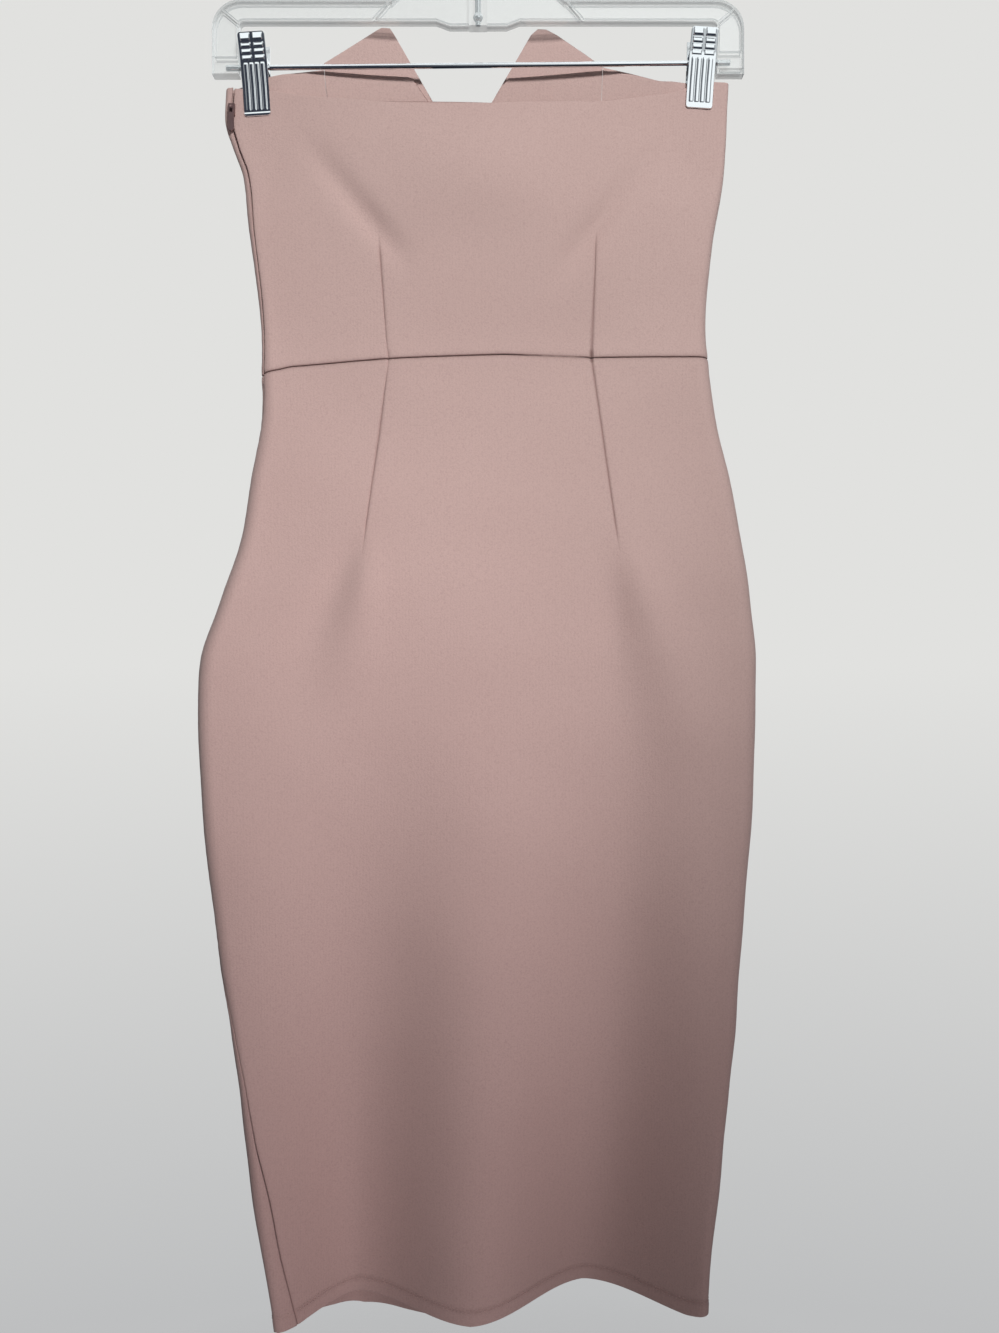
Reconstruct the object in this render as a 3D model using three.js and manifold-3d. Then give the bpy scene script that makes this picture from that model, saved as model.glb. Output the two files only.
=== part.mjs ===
// Strapless pencil dress of double-knit cloth, held by the two metal clips of a clear plastic hanger.
// Millimetres, +Z up. The back of the dress faces -Y. The origin is the inner top of the hanger's hook,
// where the hook rests on a rail. Heights called "up" are measured from the waist seam at the dress's centre.

import * as THREE from "three";
import { mergeVertices } from "three/addons/utils/BufferGeometryUtils.js";
import Module from "manifold-3d";

const wasm = await Module();
wasm.setup();

// The garment's overall sizes
const WAIST_Z = -308.6;
const CLOTH = 1.4;
const SEAM_GAP = 0.3;
const ROUND_SHARE = 0.16;
const BACK_SWELL = 1.25;
const FRONT_SWELL = 0.85;
const FACING_THICK = 1.2;
const FACING_GAP = 0.8;
const FACING_BOTTOM = 116;
const FACING_SHORT = 9;
const NOTCH = { x: -11.2, up: 143.8 };
const ZIP_END = -14;
const ZIP_COIL_WIDTH = 1.6;
const ZIP_COIL_THICK = 1.0;

// How finely the walls are divided from their top edge to their bottom edge
const BODICE_ROWS = 13;
const SKIRT_ROWS = 24;
const FACING_ROWS = 6;

// One row for each height of the dress: the two sides as seen from behind, the radius of the rounded
// side edge, the depth at mid width of the back and the front, and how much of the width swells out.
const SECTIONS = [
  { up: 240, left: -168.5, right: 168.0, edge: 2.7, back: 9, front: 15, span: 0.79 },
  { up: 185, left: -168.5, right: 168.0, edge: 2.7, back: 9, front: 15, span: 0.79 },
  { up: 158, left: -169.5, right: 166.6, edge: 2.75, back: 11, front: 16, span: 0.79 },
  { up: 140, left: -164.0, right: 166.0, edge: 3.6, back: 13, front: 17, span: 0.84 },
  { up: 120, left: -157.3, right: 164.6, edge: 4.6, back: 15, front: 18, span: 0.9 },
  { up: 79, left: -152.6, right: 157.9, edge: 6.5, back: 17, front: 19, span: 1 },
  { up: 39, left: -147.9, right: 153.8, edge: 8, back: 17, front: 18, span: 1 },
  { up: -1, left: -144.9, right: 153.2, edge: 9, back: 17, front: 18, span: 1 },
  { up: -42, left: -144.0, right: 159.0, edge: 10, back: 19, front: 20, span: 1 },
  { up: -82, left: -152.3, right: 168.3, edge: 11, back: 21, front: 23, span: 1 },
  { up: -122, left: -159.0, right: 176.6, edge: 12, back: 24, front: 26, span: 1 },
  { up: -163, left: -172.4, right: 182.4, edge: 12, back: 26, front: 27, span: 1 },
  { up: -203, left: -185.2, right: 186.6, edge: 12, back: 26, front: 27, span: 1 },
  { up: -263, left: -186.4, right: 185.0, edge: 12, back: 25, front: 26, span: 1 },
  { up: -344, left: -178.4, right: 180.2, edge: 11, back: 22, front: 23, span: 1 },
  { up: -404, left: -169.0, right: 174.6, edge: 10, back: 20, front: 20, span: 1 },
  { up: -465, left: -160.0, right: 170.6, edge: 9, back: 17, front: 17, span: 1 },
  { up: -525, left: -151.6, right: 163.9, edge: 9, back: 15, front: 15, span: 1 },
  { up: -586, left: -141.8, right: 155.7, edge: 8, back: 13, front: 13, span: 1 },
  { up: -633, left: -132.6, right: 152.5, edge: 8, back: 12, front: 12, span: 1 },
  { up: -660, left: -129.6, right: 151.0, edge: 8, back: 12, front: 12, span: 1 },
];

// The zipped side seam: degrees round the rounded left edge, positive on the back, and millimetres past it
const LEFT_SEAM = [
  { up: 190, turn: 90, past: 2.3 },
  { up: 158, turn: 90, past: 2.0 },
  { up: 120, turn: 82, past: 0 },
  { up: 79, turn: 60, past: 0 },
  { up: 39, turn: 51, past: 0 },
  { up: 0, turn: 39, past: 0 },
  { up: -20, turn: 32, past: 0 },
  { up: -90, turn: -10, past: 0 },
  { up: -330, turn: -14, past: 0 },
  { up: -472, turn: 66, past: 0 },
  { up: -547, turn: 90, past: 3 },
  { up: -589, turn: 90, past: 5 },
  { up: -640, turn: 90, past: 6 },
];
const RIGHT_SEAM_INWARD = -3;

// The edges of the pieces, from left to right
const BACK_TOP = [
  { x: -175, up: 180 },
  { x: -165, up: 180 },
  { x: -138, up: 178.5 },
  { x: -118, up: 175 },
  { x: -60, up: 169 },
  { x: 10, up: 166.8 },
  { x: 83, up: 170.3 },
  { x: 128, up: 177 },
  { x: 145, up: 182 },
  { x: 158, up: 184.5 },
  { x: 168, up: 184 },
];
const SIDE_LEFT_TOP = [
  { x: -175, up: 180 },
  { x: -165, up: 180.5 },
  { x: -152, up: 185 },
  { x: -141.2, up: 189.6 },
  { x: -105.9, up: 196.7 },
];
const CENTRE_TOP = [
  { x: -107, up: 199.5 },
  { x: -103, up: 202.5 },
  { x: -69, up: 226 },
  { x: -66, up: 227.7 },
  { x: -60.5, up: 227.7 },
  { x: -57.7, up: 223.8 },
  { x: NOTCH.x, up: NOTCH.up },
  { x: 35.9, up: 223.4 },
  { x: 40.7, up: 227.3 },
  { x: 46.2, up: 226.9 },
  { x: 53.7, up: 222.8 },
  { x: 72.9, up: 209 },
  { x: 86, up: 199 },
];
const SIDE_RIGHT_TOP = [
  { x: 84, up: 200 },
  { x: 104.9, up: 193.9 },
  { x: 122.9, up: 187.8 },
  { x: 140, up: 185.5 },
  { x: 160, up: 185 },
  { x: 168, up: 184 },
];
const FACING_TOP = [
  { x: -175, up: 178 },
  { x: -165, up: 179 },
  { x: -152, up: 183.6 },
  { x: -141.2, up: 188.2 },
  { x: -105.9, up: 195.2 },
  { x: -45.8, up: 193.5 },
  { x: NOTCH.x, up: NOTCH.up + 0.6 },
  { x: 20.2, up: 193.5 },
  { x: 84.5, up: 196.8 },
  { x: 104.9, up: 192.7 },
  { x: 122.9, up: 186.6 },
  { x: 140, up: 184.3 },
  { x: 168, up: 182.4 },
];
const WAIST_BACK = [
  { x: -150, up: -13.4 },
  { x: -123.7, up: -8.2 },
  { x: -60, up: -4.4 },
  { x: 17.4, up: -1.5 },
  { x: 75, up: -3 },
  { x: 160, up: -1.3 },
];
const WAIST_FRONT = [
  { x: -150, up: -13.4 },
  { x: -60, up: -7 },
  { x: 60, up: -4 },
  { x: 160, up: -1.3 },
];
const HEM_BACK = [
  { x: -140, up: -639 },
  { x: -119, up: -638 },
  { x: -80, up: -631.7 },
  { x: -4, up: -638 },
  { x: 72, up: -630 },
  { x: 138, up: -636.7 },
  { x: 155, up: -635.4 },
];
const HEM_FRONT = [
  { x: -140, up: -639 },
  { x: -119, up: -638 },
  { x: -100, up: -645 },
  { x: -80, up: -650 },
  { x: -50, up: -649 },
  { x: -4, up: -643 },
  { x: 72, up: -637 },
  { x: 155, up: -635.4 },
];
const FACING_HEM = [
  { x: -180, up: FACING_BOTTOM },
  { x: 180, up: FACING_BOTTOM },
];

// The skirt's long waves: where each crest or hollow lies high up and at the hem, and its depth at the hem
const WAVES = [
  { high: -190, hem: -139, depth: -29 },
  { high: -66, hem: -80.7, depth: 21 },
  { high: 8, hem: -4.1, depth: -13 },
  { high: 105, hem: 74, depth: 35 },
  { high: 150, hem: 163, depth: -13 },
  { high: 200, hem: 200, depth: -8 },
];
const WAVE_TOP = -170;
const WAVE_BOTTOM = -633;
const WAVE_GROWTH = 1.1;

// Soft folds, each along a line between two points, given as x and up. A fold is deepest at its peak,
// a share of the way along, and dies out towards both ends. Depth is along +Y. Where a fold is a roll,
// the cloth sinks on its left and rises on its right, so that one slope faces left.
const FOLDS = [
  { side: "both", from: [-130, 162], to: [-38, 47], narrow: 8.5, wide: 8.5, depth: 4.6, peak: 0.62 },
  { side: "both", from: [130, 155], to: [40, 32], narrow: 8.5, wide: 8.5, depth: 4.6, peak: 0.6 },
  { side: "back", from: [-70, 120], to: [78, 120], narrow: 38, wide: 38, depth: -6, peak: 0.5 },
  { side: "back", from: [-70, -112], to: [-118, -262], narrow: 6, wide: 24, depth: 3, peak: 0.3, roll: true },
  { side: "back", from: [89, -110], to: [133, -330], narrow: 7, wide: 34, depth: 4.5, peak: 0.3, roll: true },
  { side: "front", from: [-82, 135], to: [-54, 92], narrow: 30, wide: 30, depth: 6, peak: 0.5 },
  { side: "front", from: [80, 135], to: [52, 92], narrow: 30, wide: 30, depth: 6, peak: 0.5 },
  { side: "front", from: [-68, -90], to: [-100, -250], narrow: 8, wide: 24, depth: -3.5, peak: 0.4 },
  { side: "front", from: [78, -90], to: [108, -250], narrow: 8, wide: 24, depth: -3, peak: 0.4 },
];

// Sewn darts: a narrow crease along a line that fades out at its tip
const DART_DEPTH = 0.9;
const DART_HALF_WIDTH = 2.6;
const DARTS = {
  bodiceLeft: { side: "back", seamX: -59.2, seamUp: -4, tipX: -65.9, tipUp: 80.6 },
  bodiceRight: { side: "back", seamX: 75.2, seamUp: -3, tipX: 78.6, tipUp: 82.7 },
  skirtLeft: { side: "back", seamX: -58.5, seamUp: -4, tipX: -76, tipUp: -134.4 },
  skirtRight: { side: "back", seamX: 75.2, seamUp: -3, tipX: 93.4, tipUp: -134.4 },
  frontLeft: { side: "front", seamX: -62, seamUp: -7, tipX: -70, tipUp: -100 },
  frontRight: { side: "front", seamX: 70, seamUp: -4, tipX: 78, tipUp: -100 },
};

// The two princess seams of the front bodice, from the neck edge to the waist
const PRINCESS_LEFT = [
  { up: 205, x: -105 },
  { up: 178, x: -102.5 },
  { up: 110, x: -86 },
  { up: -8, x: -62 },
];
const PRINCESS_RIGHT = [
  { up: 205, x: 85 },
  { up: 178, x: 84 },
  { up: 110, x: 84 },
  { up: -8, x: 70 },
];

// The hanger
const FRAME = {
  half: 178,
  socketDepth: 9.4,
  socketHeight: 11.4,
  bossWidth: 12,
  dipRib: 71,
  armRib: 172,
  armInner: 160,
  top: -69.5,
  low: -84,
  armEnd: -119.5,
  corner: 19,
  innerCorner: 3,
  humpBase: 58,
  humpTop: 44,
  humpZ: -56,
  dipOuter: 28,
  dipInner: 19,
  dipZ: -87.3,
  web: 2.4,
  lipThick: 1.7,
  lipDepth: 8,
};
const BAR = { half: 169, leftZ: -113.8, rightZ: -110.2, radius: 1.75 };
const HOOK = {
  inner: 19,
  wire: 1.8,
  turnFrom: -54,
  ballZ: -79.8,
  ballRadius: 3.1,
  tipZ: -85.2,
  tipRadius: 1.4,
};
const HOOK_END_DEGREES = 212;
const FIT = 0.3;
const CLIP = {
  width: 18,
  plate: 0.9,
  rib: 0.5,
  ribs: 4,
  ribWidth: 2.2,
  ridges: 5,
  firstRidge: 4.2,
  ridgePitch: 3.1,
  ridgeTilt: -0.34,
  earReach: 3.2,
  earOut: 5.4,
  earHalf: 4,
  leanRoom: 0.7,
};
const CLIPS = [
  { side: "left", x: -149.6, lean: -3.7, jaw: 34 },
  { side: "right", x: 149.9, lean: 3.7, jaw: 32 },
];
// The plates' inner face, from the jaw's tip to the lever's end: height from the bar, distance from mid plane
const PLATE_LINE = [
  { z: -34, out: 3.1 },
  { z: -13, out: 3.1 },
  { z: -5, out: 4.6 },
  { z: 3, out: 5.4 },
  { z: 19, out: 11 },
];

// The zip's metal parts
const SLIDER = {
  up: 165,
  width: 4.4,
  length: 8,
  thick: 2.2,
  archInner: 0.95,
  archOuter: 1.75,
  archWidth: 1.1,
};
const PULL = { width: 4, thick: 1, length: 16, holeWidth: 2.1, holeLength: 2.6, ring: 1.2 };

const COLOUR = {
  cloth: [0.73, 0.61, 0.59],
  inside: [0.71, 0.59, 0.57],
  coil: [0.45, 0.34, 0.34],
  zipMetal: [0.62, 0.52, 0.51],
  clear: [0.86, 0.88, 0.88],
  chrome: [0.75, 0.76, 0.78],
};

function material(colour, roughness, metalness, opacity = 1) {
  return new THREE.MeshStandardMaterial({
    color: new THREE.Color().setRGB(...colour, THREE.SRGBColorSpace),
    roughness,
    metalness,
    opacity,
    transparent: opacity < 1,
  });
}

// A value read off a table: a smooth curve through the rows, level past both ends
function curveAt(rows, key, value, name) {
  const sign = rows[0][key] < rows[rows.length - 1][key] ? 1 : -1;
  const last = rows.length - 1;
  if ((value - rows[0][key]) * sign <= 0) {
    return rows[0][name];
  }
  if ((value - rows[last][key]) * sign >= 0) {
    return rows[last][name];
  }
  let i = 0;
  while ((value - rows[i + 1][key]) * sign > 0) {
    i += 1;
  }
  const slope = (a, b) => (rows[b][name] - rows[a][name]) / (rows[b][key] - rows[a][key]);
  const span = rows[i + 1][key] - rows[i][key];
  const t = (value - rows[i][key]) / span;
  const startSlope = slope(Math.max(i - 1, 0), i + 1) * span;
  const endSlope = slope(i, Math.min(i + 2, last)) * span;
  const start = rows[i][name];
  const end = rows[i + 1][name];
  const t2 = t * t;
  const t3 = t2 * t;
  return start * (2 * t3 - 3 * t2 + 1) + startSlope * (t3 - 2 * t2 + t)
    + end * (3 * t2 - 2 * t3) + endSlope * (t3 - t2);
}

// A value read off a table in straight lines, for edges with real corners
function lineAt(rows, key, value, name) {
  const last = rows.length - 1;
  const sign = rows[0][key] < rows[last][key] ? 1 : -1;
  let i = 0;
  while (i < last - 1 && (value - rows[i + 1][key]) * sign > 0) {
    i += 1;
  }
  const t = (value - rows[i][key]) / (rows[i + 1][key] - rows[i][key]);
  return THREE.MathUtils.lerp(rows[i][name], rows[i + 1][name], THREE.MathUtils.clamp(t, 0, 1));
}

function sectionAt(up) {
  const read = (name) => curveAt(SECTIONS, "up", up, name);
  return {
    left: read("left"),
    right: read("right"),
    edge: read("edge"),
    back: read("back"),
    front: read("front"),
    span: read("span"),
  };
}

// Where a line across the cloth has its waves: a smooth swing from each crest to the next hollow
function waveDepth(x, up) {
  const grown = THREE.MathUtils.clamp((up - WAVE_TOP) / (WAVE_BOTTOM - WAVE_TOP), 0, 1.05);
  const share = grown ** WAVE_GROWTH;
  const places = WAVES.map((wave) => ({
    x: THREE.MathUtils.lerp(wave.high, wave.hem, Math.min(grown, 1)),
    depth: wave.depth,
  }));
  const last = places.length - 1;
  if (x <= places[0].x) {
    return places[0].depth * share;
  }
  if (x >= places[last].x) {
    return places[last].depth * share;
  }
  let i = 0;
  while (x > places[i + 1].x) {
    i += 1;
  }
  const t = (x - places[i].x) / (places[i + 1].x - places[i].x);
  const ease = (1 - Math.cos(Math.PI * t)) / 2;
  return THREE.MathUtils.lerp(places[i].depth, places[i + 1].depth, ease) * share;
}

// How far a point is from a fold's line, and the soft dip or roll that the fold makes there
function foldDepth(side, x, up) {
  let total = 0;
  for (const fold of FOLDS.filter((entry) => entry.side === side || entry.side === "both")) {
    const [fromX, fromUp] = fold.from;
    const runX = fold.to[0] - fromX;
    const runUp = fold.to[1] - fromUp;
    const run = Math.hypot(runX, runUp);
    const along = ((x - fromX) * runX + (up - fromUp) * runUp) / run ** 2;
    const rise = THREE.MathUtils.smoothstep(along, 0, fold.peak);
    const fall = THREE.MathUtils.smoothstep(along, fold.peak, 1);
    const width = THREE.MathUtils.lerp(fold.narrow, fold.wide, THREE.MathUtils.clamp(along, 0, 1));
    const away = ((x - fromX) * runUp - (up - fromUp) * runX) / run / width;
    const shape = fold.roll ? away * Math.exp((1 - away ** 2) / 2) : Math.exp(-(away ** 2));
    total += fold.depth * (rise - fall) * shape;
  }
  return total;
}

function dartX(dart, up) {
  const t = (up - dart.seamUp) / (dart.tipUp - dart.seamUp);
  return THREE.MathUtils.lerp(dart.seamX, dart.tipX, THREE.MathUtils.clamp(t, 0, 1));
}

// The crease of a sewn dart sinks into the cloth, towards the inside of the dress
function dartDepth(side, x, up) {
  let total = 0;
  for (const dart of Object.values(DARTS).filter((entry) => entry.side === side)) {
    const t = (up - dart.seamUp) / (dart.tipUp - dart.seamUp);
    const away = Math.abs(x - dartX(dart, up)) / DART_HALF_WIDTH;
    if (t > -0.1 && t < 1 && away < 1) {
      total += DART_DEPTH * (1 - away) * Math.min(1, (1 - t) * 6);
    }
  }
  return side === "back" ? total : -total;
}

// A point of the dress's outer face. The place round the ring runs 0 to 2 across the back, from the left
// edge to the right, and 2 to 4 across the front, from the right edge to the left.
function clothPoint(place, up) {
  const ring = ((place % 4) + 4) % 4;
  const onBack = ring < 2;
  const across = onBack ? ring : 4 - ring;
  const section = sectionAt(up);
  const edge = section.edge;
  const flat = section.right - section.left - 2 * edge;
  const middle = (section.left + section.right) / 2;
  let x;
  let out;
  if (across < ROUND_SHARE) {
    const angle = (across / ROUND_SHARE) * Math.PI / 2;
    x = section.left + edge * (1 - Math.cos(angle));
    out = edge * Math.sin(angle);
  } else if (across > 2 - ROUND_SHARE) {
    const angle = ((2 - across) / ROUND_SHARE) * Math.PI / 2;
    x = section.right - edge * (1 - Math.cos(angle));
    out = edge * Math.sin(angle);
  } else {
    x = section.left + edge + flat * (across - ROUND_SHARE) / (2 - 2 * ROUND_SHARE);
    const reach = (x - middle) / (flat / 2 * section.span);
    const swell = Math.max(0, 1 - reach ** 2) ** (onBack ? BACK_SWELL : FRONT_SWELL);
    out = edge + ((onBack ? section.back : section.front) - edge) * swell;
  }
  const inward = Math.min(x - section.left, section.right - x);
  const settle = THREE.MathUtils.smoothstep(inward, 0, edge + 10);
  const side = onBack ? "back" : "front";
  const shift = foldDepth(side, x, up) * settle + dartDepth(side, x, up);
  return new THREE.Vector3(x, (onBack ? -out : out) + waveDepth(x, up) + shift, WAIST_Z + up);
}

function clothNormal(place, up) {
  const step = 0.004;
  const rise = 0.6;
  const across = clothPoint(place + step, up).sub(clothPoint(place - step, up));
  const along = clothPoint(place, up + rise).sub(clothPoint(place, up - rise));
  return across.cross(along).normalize();
}

// The place round the ring of a point that lies "inward" of an edge, positive on the back
function placeInward(edgeSide, inward, up) {
  const section = sectionAt(up);
  const flat = section.right - section.left - 2 * section.edge;
  const depth = Math.abs(inward);
  let across;
  if (depth < section.edge) {
    across = ROUND_SHARE * Math.acos(1 - depth / section.edge) / (Math.PI / 2);
  } else {
    across = ROUND_SHARE + (depth - section.edge) / flat * (2 - 2 * ROUND_SHARE);
  }
  const turned = across * Math.sign(inward);
  return edgeSide === "left" ? turned : 2 - turned;
}

function placeAtX(side, x, up) {
  const section = sectionAt(up);
  const place = placeInward("left", Math.max(x - section.left, 0.01), up);
  return side === "back" ? place : 4 - place;
}

// The place that lies a distance along the cloth from another, walked in short steps
function placeAlong(place, up, distance) {
  const steps = 10;
  const probe = 0.0005 * Math.sign(distance);
  let there = place;
  for (let i = 0; i < steps; i += 1) {
    const length = clothPoint(there + probe, up).distanceTo(clothPoint(there, up));
    there += probe * Math.abs(distance) / steps / length;
  }
  return there;
}

// A rail is the line that one column of a piece follows, as a place round the ring for each height
const leftSeam = (up) => {
  const section = sectionAt(up);
  const flat = section.right - section.left - 2 * section.edge;
  const turned = ROUND_SHARE * curveAt(LEFT_SEAM, "up", up, "turn") / 90;
  return turned + curveAt(LEFT_SEAM, "up", up, "past") / flat * (2 - 2 * ROUND_SHARE);
};
const rightSeam = (up) => placeInward("right", RIGHT_SEAM_INWARD, up);
const seamLine = (side, rows) => (up) => placeAtX(side, curveAt(rows, "up", up, "x"), up);
const straightDown = (side, highX, lowX, highUp, lowUp) => (up) => {
  const t = THREE.MathUtils.clamp((up - highUp) / (lowUp - highUp), 0, 1);
  return placeAtX(side, THREE.MathUtils.lerp(highX, lowX, t), up);
};
const dartRail = (dart, offset, drift = 0) => (up) => {
  const past = Math.max(0, dart.tipUp - up) * drift;
  return placeAtX(dart.side, dartX(dart, up) + offset + past, up);
};
const moved = (rail, distance) => (up) => placeAlong(rail(up), up, distance(up));
const turnedOnce = (rail) => (up) => rail(up) + 4;
const atPlace = (place) => () => place;
const leftRound = atPlace(4 - ROUND_SHARE);
const rightRound = atPlace(2 - ROUND_SHARE);

// Beside the zip the side seam stands open by the coil's width; below it the two pieces meet
function zipOpening(up) {
  const open = THREE.MathUtils.smoothstep(up, ZIP_END - 8, ZIP_END);
  return SEAM_GAP / 2 + open * (ZIP_COIL_WIDTH / 2 + SEAM_GAP / 2);
}
const HALF_GAP = SEAM_GAP / 2;
const backFromZip = moved(leftSeam, zipOpening);
const frontToZip = moved(turnedOnce(leftSeam), (up) => -zipOpening(up));

// A wall of cloth between two edges, with a column for each share of each pair of neighbouring rails
function wall({ rails, splits, top, bottom, rows, inset = 0, thick = CLOTH, topGap = 0, bottomGap = 0 }) {
  const columns = [];
  for (let i = 0; i < rails.length - 1; i += 1) {
    for (let j = 0; j < splits[i]; j += 1) {
      const t = j / splits[i];
      columns.push((up) => THREE.MathUtils.lerp(rails[i](up), rails[i + 1](up), t));
    }
  }
  columns.push(rails[rails.length - 1]);
  const settleOn = (edgeRows, column) => {
    let up = edgeRows[0].up;
    for (let turn = 0; turn < 12; turn += 1) {
      up = lineAt(edgeRows, "x", clothPoint(column(up), up).x, "up");
    }
    return up;
  };
  const outer = [];
  const inner = [];
  for (const column of columns) {
    const high = settleOn(top, column) - topGap;
    const low = settleOn(bottom, column) + bottomGap;
    for (let row = 0; row <= rows; row += 1) {
      const up = THREE.MathUtils.lerp(high, low, row / rows);
      const point = clothPoint(column(up), up);
      const normal = clothNormal(column(up), up);
      outer.push(point.clone().addScaledVector(normal, -inset));
      inner.push(point.clone().addScaledVector(normal, -inset - thick));
    }
  }
  return closedWall(outer, inner, columns.length, rows + 1);
}

// Joins an outer and an inner face of the same grid into one closed solid
function closedWall(outer, inner, columnCount, rowCount) {
  const count = outer.length;
  const positions = [...outer, ...inner].flatMap((point) => [point.x, point.y, point.z]);
  const triangles = [];
  const at = (column, row) => column * rowCount + row;
  const quad = (a, b, c, d) => triangles.push(a, b, c, a, c, d);
  for (let column = 0; column < columnCount - 1; column += 1) {
    for (let row = 0; row < rowCount - 1; row += 1) {
      const a = at(column, row);
      const b = at(column, row + 1);
      const c = at(column + 1, row + 1);
      const d = at(column + 1, row);
      quad(a, b, c, d);
      quad(a + count, d + count, c + count, b + count);
    }
    const topA = at(column, 0);
    const topB = at(column + 1, 0);
    quad(topA, topB, topB + count, topA + count);
    const lowA = at(column, rowCount - 1);
    const lowB = at(column + 1, rowCount - 1);
    quad(lowB, lowA, lowA + count, lowB + count);
  }
  for (let row = 0; row < rowCount - 1; row += 1) {
    const firstA = at(0, row);
    quad(firstA + 1, firstA, firstA + count, firstA + 1 + count);
    const lastA = at(columnCount - 1, row);
    quad(lastA, lastA + 1, lastA + 1 + count, lastA + count);
  }
  const geometry = new THREE.BufferGeometry();
  geometry.setAttribute("position", new THREE.Float32BufferAttribute(positions, 3));
  geometry.setIndex(triangles);
  geometry.computeVertexNormals();
  return geometry;
}

// Solids that are joined or cut go through the solid modeller and back
function toSolid(geometry) {
  const plain = geometry.clone();
  plain.deleteAttribute("normal");
  plain.deleteAttribute("uv");
  const merged = mergeVertices(plain, 1e-4);
  const mesh = new wasm.Mesh({
    numProp: 3,
    vertProperties: new Float32Array(merged.attributes.position.array),
    triVerts: new Uint32Array(merged.index.array),
  });
  return new wasm.Manifold(mesh);
}

function fromSolid(solid) {
  const mesh = solid.getMesh();
  const geometry = new THREE.BufferGeometry();
  geometry.setAttribute("position", new THREE.Float32BufferAttribute(mesh.vertProperties, 3));
  geometry.setIndex(Array.from(mesh.triVerts));
  const faceted = geometry.toNonIndexed();
  faceted.computeVertexNormals();
  return faceted;
}

function joined(geometries) {
  return geometries.map(toSolid).reduce((sum, solid) => sum.add(solid));
}

function box(width, depth, height, x = 0, y = 0, z = 0) {
  return new THREE.BoxGeometry(width, depth, height).translate(x, y, z);
}

// A cylinder along X
function rod(radius, length, sides = 16) {
  return new THREE.CylinderGeometry(radius, radius, length, sides).rotateZ(Math.PI / 2);
}

// A flat outline drawn in X and Z, given a depth along Y about the middle plane
function slabXZ(shape, depth, curveSegments = 4) {
  const slab = new THREE.ExtrudeGeometry(shape, { depth, bevelEnabled: false, curveSegments });
  return slab.rotateX(Math.PI / 2).translate(0, depth / 2, 0);
}

// A flat outline drawn in Y and Z, given a width along X about the middle plane
function slabYZ(shape, width, curveSegments = 4) {
  const slab = new THREE.ExtrudeGeometry(shape, { depth: width, bevelEnabled: false, curveSegments });
  return slab.applyMatrix4(new THREE.Matrix4().makeBasis(
    new THREE.Vector3(0, 1, 0),
    new THREE.Vector3(0, 0, 1),
    new THREE.Vector3(1, 0, 0),
  )).translate(-width / 2, 0, 0);
}

// The hanger's outline, drawn in by an inset to leave room for the lips round its edges
function frameOutline(inset) {
  const side = FRAME.half - inset;
  const inner = FRAME.armInner + inset;
  const top = FRAME.top - inset;
  const low = FRAME.low + inset;
  const end = FRAME.armEnd + inset;
  const turn = FRAME.corner - inset;
  const innerTurn = FRAME.innerCorner + inset;
  const shape = new THREE.Shape();
  shape.moveTo(-side, end);
  shape.lineTo(-inner, end);
  shape.lineTo(-inner, low - innerTurn);
  shape.absarc(-inner + innerTurn, low - innerTurn, innerTurn, Math.PI, Math.PI / 2, true);
  shape.lineTo(-FRAME.dipOuter, low);
  shape.lineTo(-FRAME.dipInner, FRAME.dipZ + inset);
  shape.lineTo(FRAME.dipInner, FRAME.dipZ + inset);
  shape.lineTo(FRAME.dipOuter, low);
  shape.absarc(inner - innerTurn, low - innerTurn, innerTurn, Math.PI / 2, 0, true);
  shape.lineTo(inner, end);
  shape.lineTo(side, end);
  shape.absarc(side - turn, top - turn, turn, 0, Math.PI / 2, false);
  shape.lineTo(FRAME.humpBase, top);
  shape.lineTo(FRAME.humpTop, FRAME.humpZ - inset);
  shape.lineTo(-FRAME.humpTop, FRAME.humpZ - inset);
  shape.lineTo(-FRAME.humpBase, top);
  shape.absarc(-side + turn, top - turn, turn, Math.PI / 2, Math.PI, false);
  shape.closePath();
  return shape;
}

function ribBetween(fromX, fromZ, toX, toZ) {
  const length = Math.hypot(toX - fromX, toZ - fromZ);
  const tilt = Math.atan2(toX - fromX, toZ - fromZ);
  const rib = box(FRAME.lipThick, FRAME.lipDepth, length).rotateY(tilt);
  return rib.translate((fromX + toX) / 2, 0, (fromZ + toZ) / 2);
}

function barTilt() {
  return Math.atan2(BAR.leftZ - BAR.rightZ, 2 * BAR.half);
}

// The bar lies level in its own frame; this puts a piece of it where the bar is
function alongBar(geometry) {
  return geometry.rotateY(barTilt()).translate(0, 0, (BAR.leftZ + BAR.rightZ) / 2);
}

function hookEnd(grow) {
  const profile = [new THREE.Vector2(0, HOOK.tipZ - grow)];
  profile.push(new THREE.Vector2(HOOK.tipRadius + grow, HOOK.tipZ - grow));
  const ball = HOOK.ballRadius + grow;
  const low = -Math.acos((HOOK.tipRadius + grow) / ball);
  const high = Math.acos((HOOK.wire + grow) / ball);
  for (let i = 0; i <= 6; i += 1) {
    const angle = THREE.MathUtils.lerp(low, high, i / 6);
    profile.push(new THREE.Vector2(ball * Math.cos(angle), HOOK.ballZ + ball * Math.sin(angle)));
  }
  profile.push(new THREE.Vector2(HOOK.wire + grow, FRAME.humpZ + (grow ? 8 : -4)));
  profile.push(new THREE.Vector2(0, FRAME.humpZ + (grow ? 8 : -4)));
  return new THREE.LatheGeometry(profile, 12).rotateX(Math.PI / 2);
}

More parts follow.
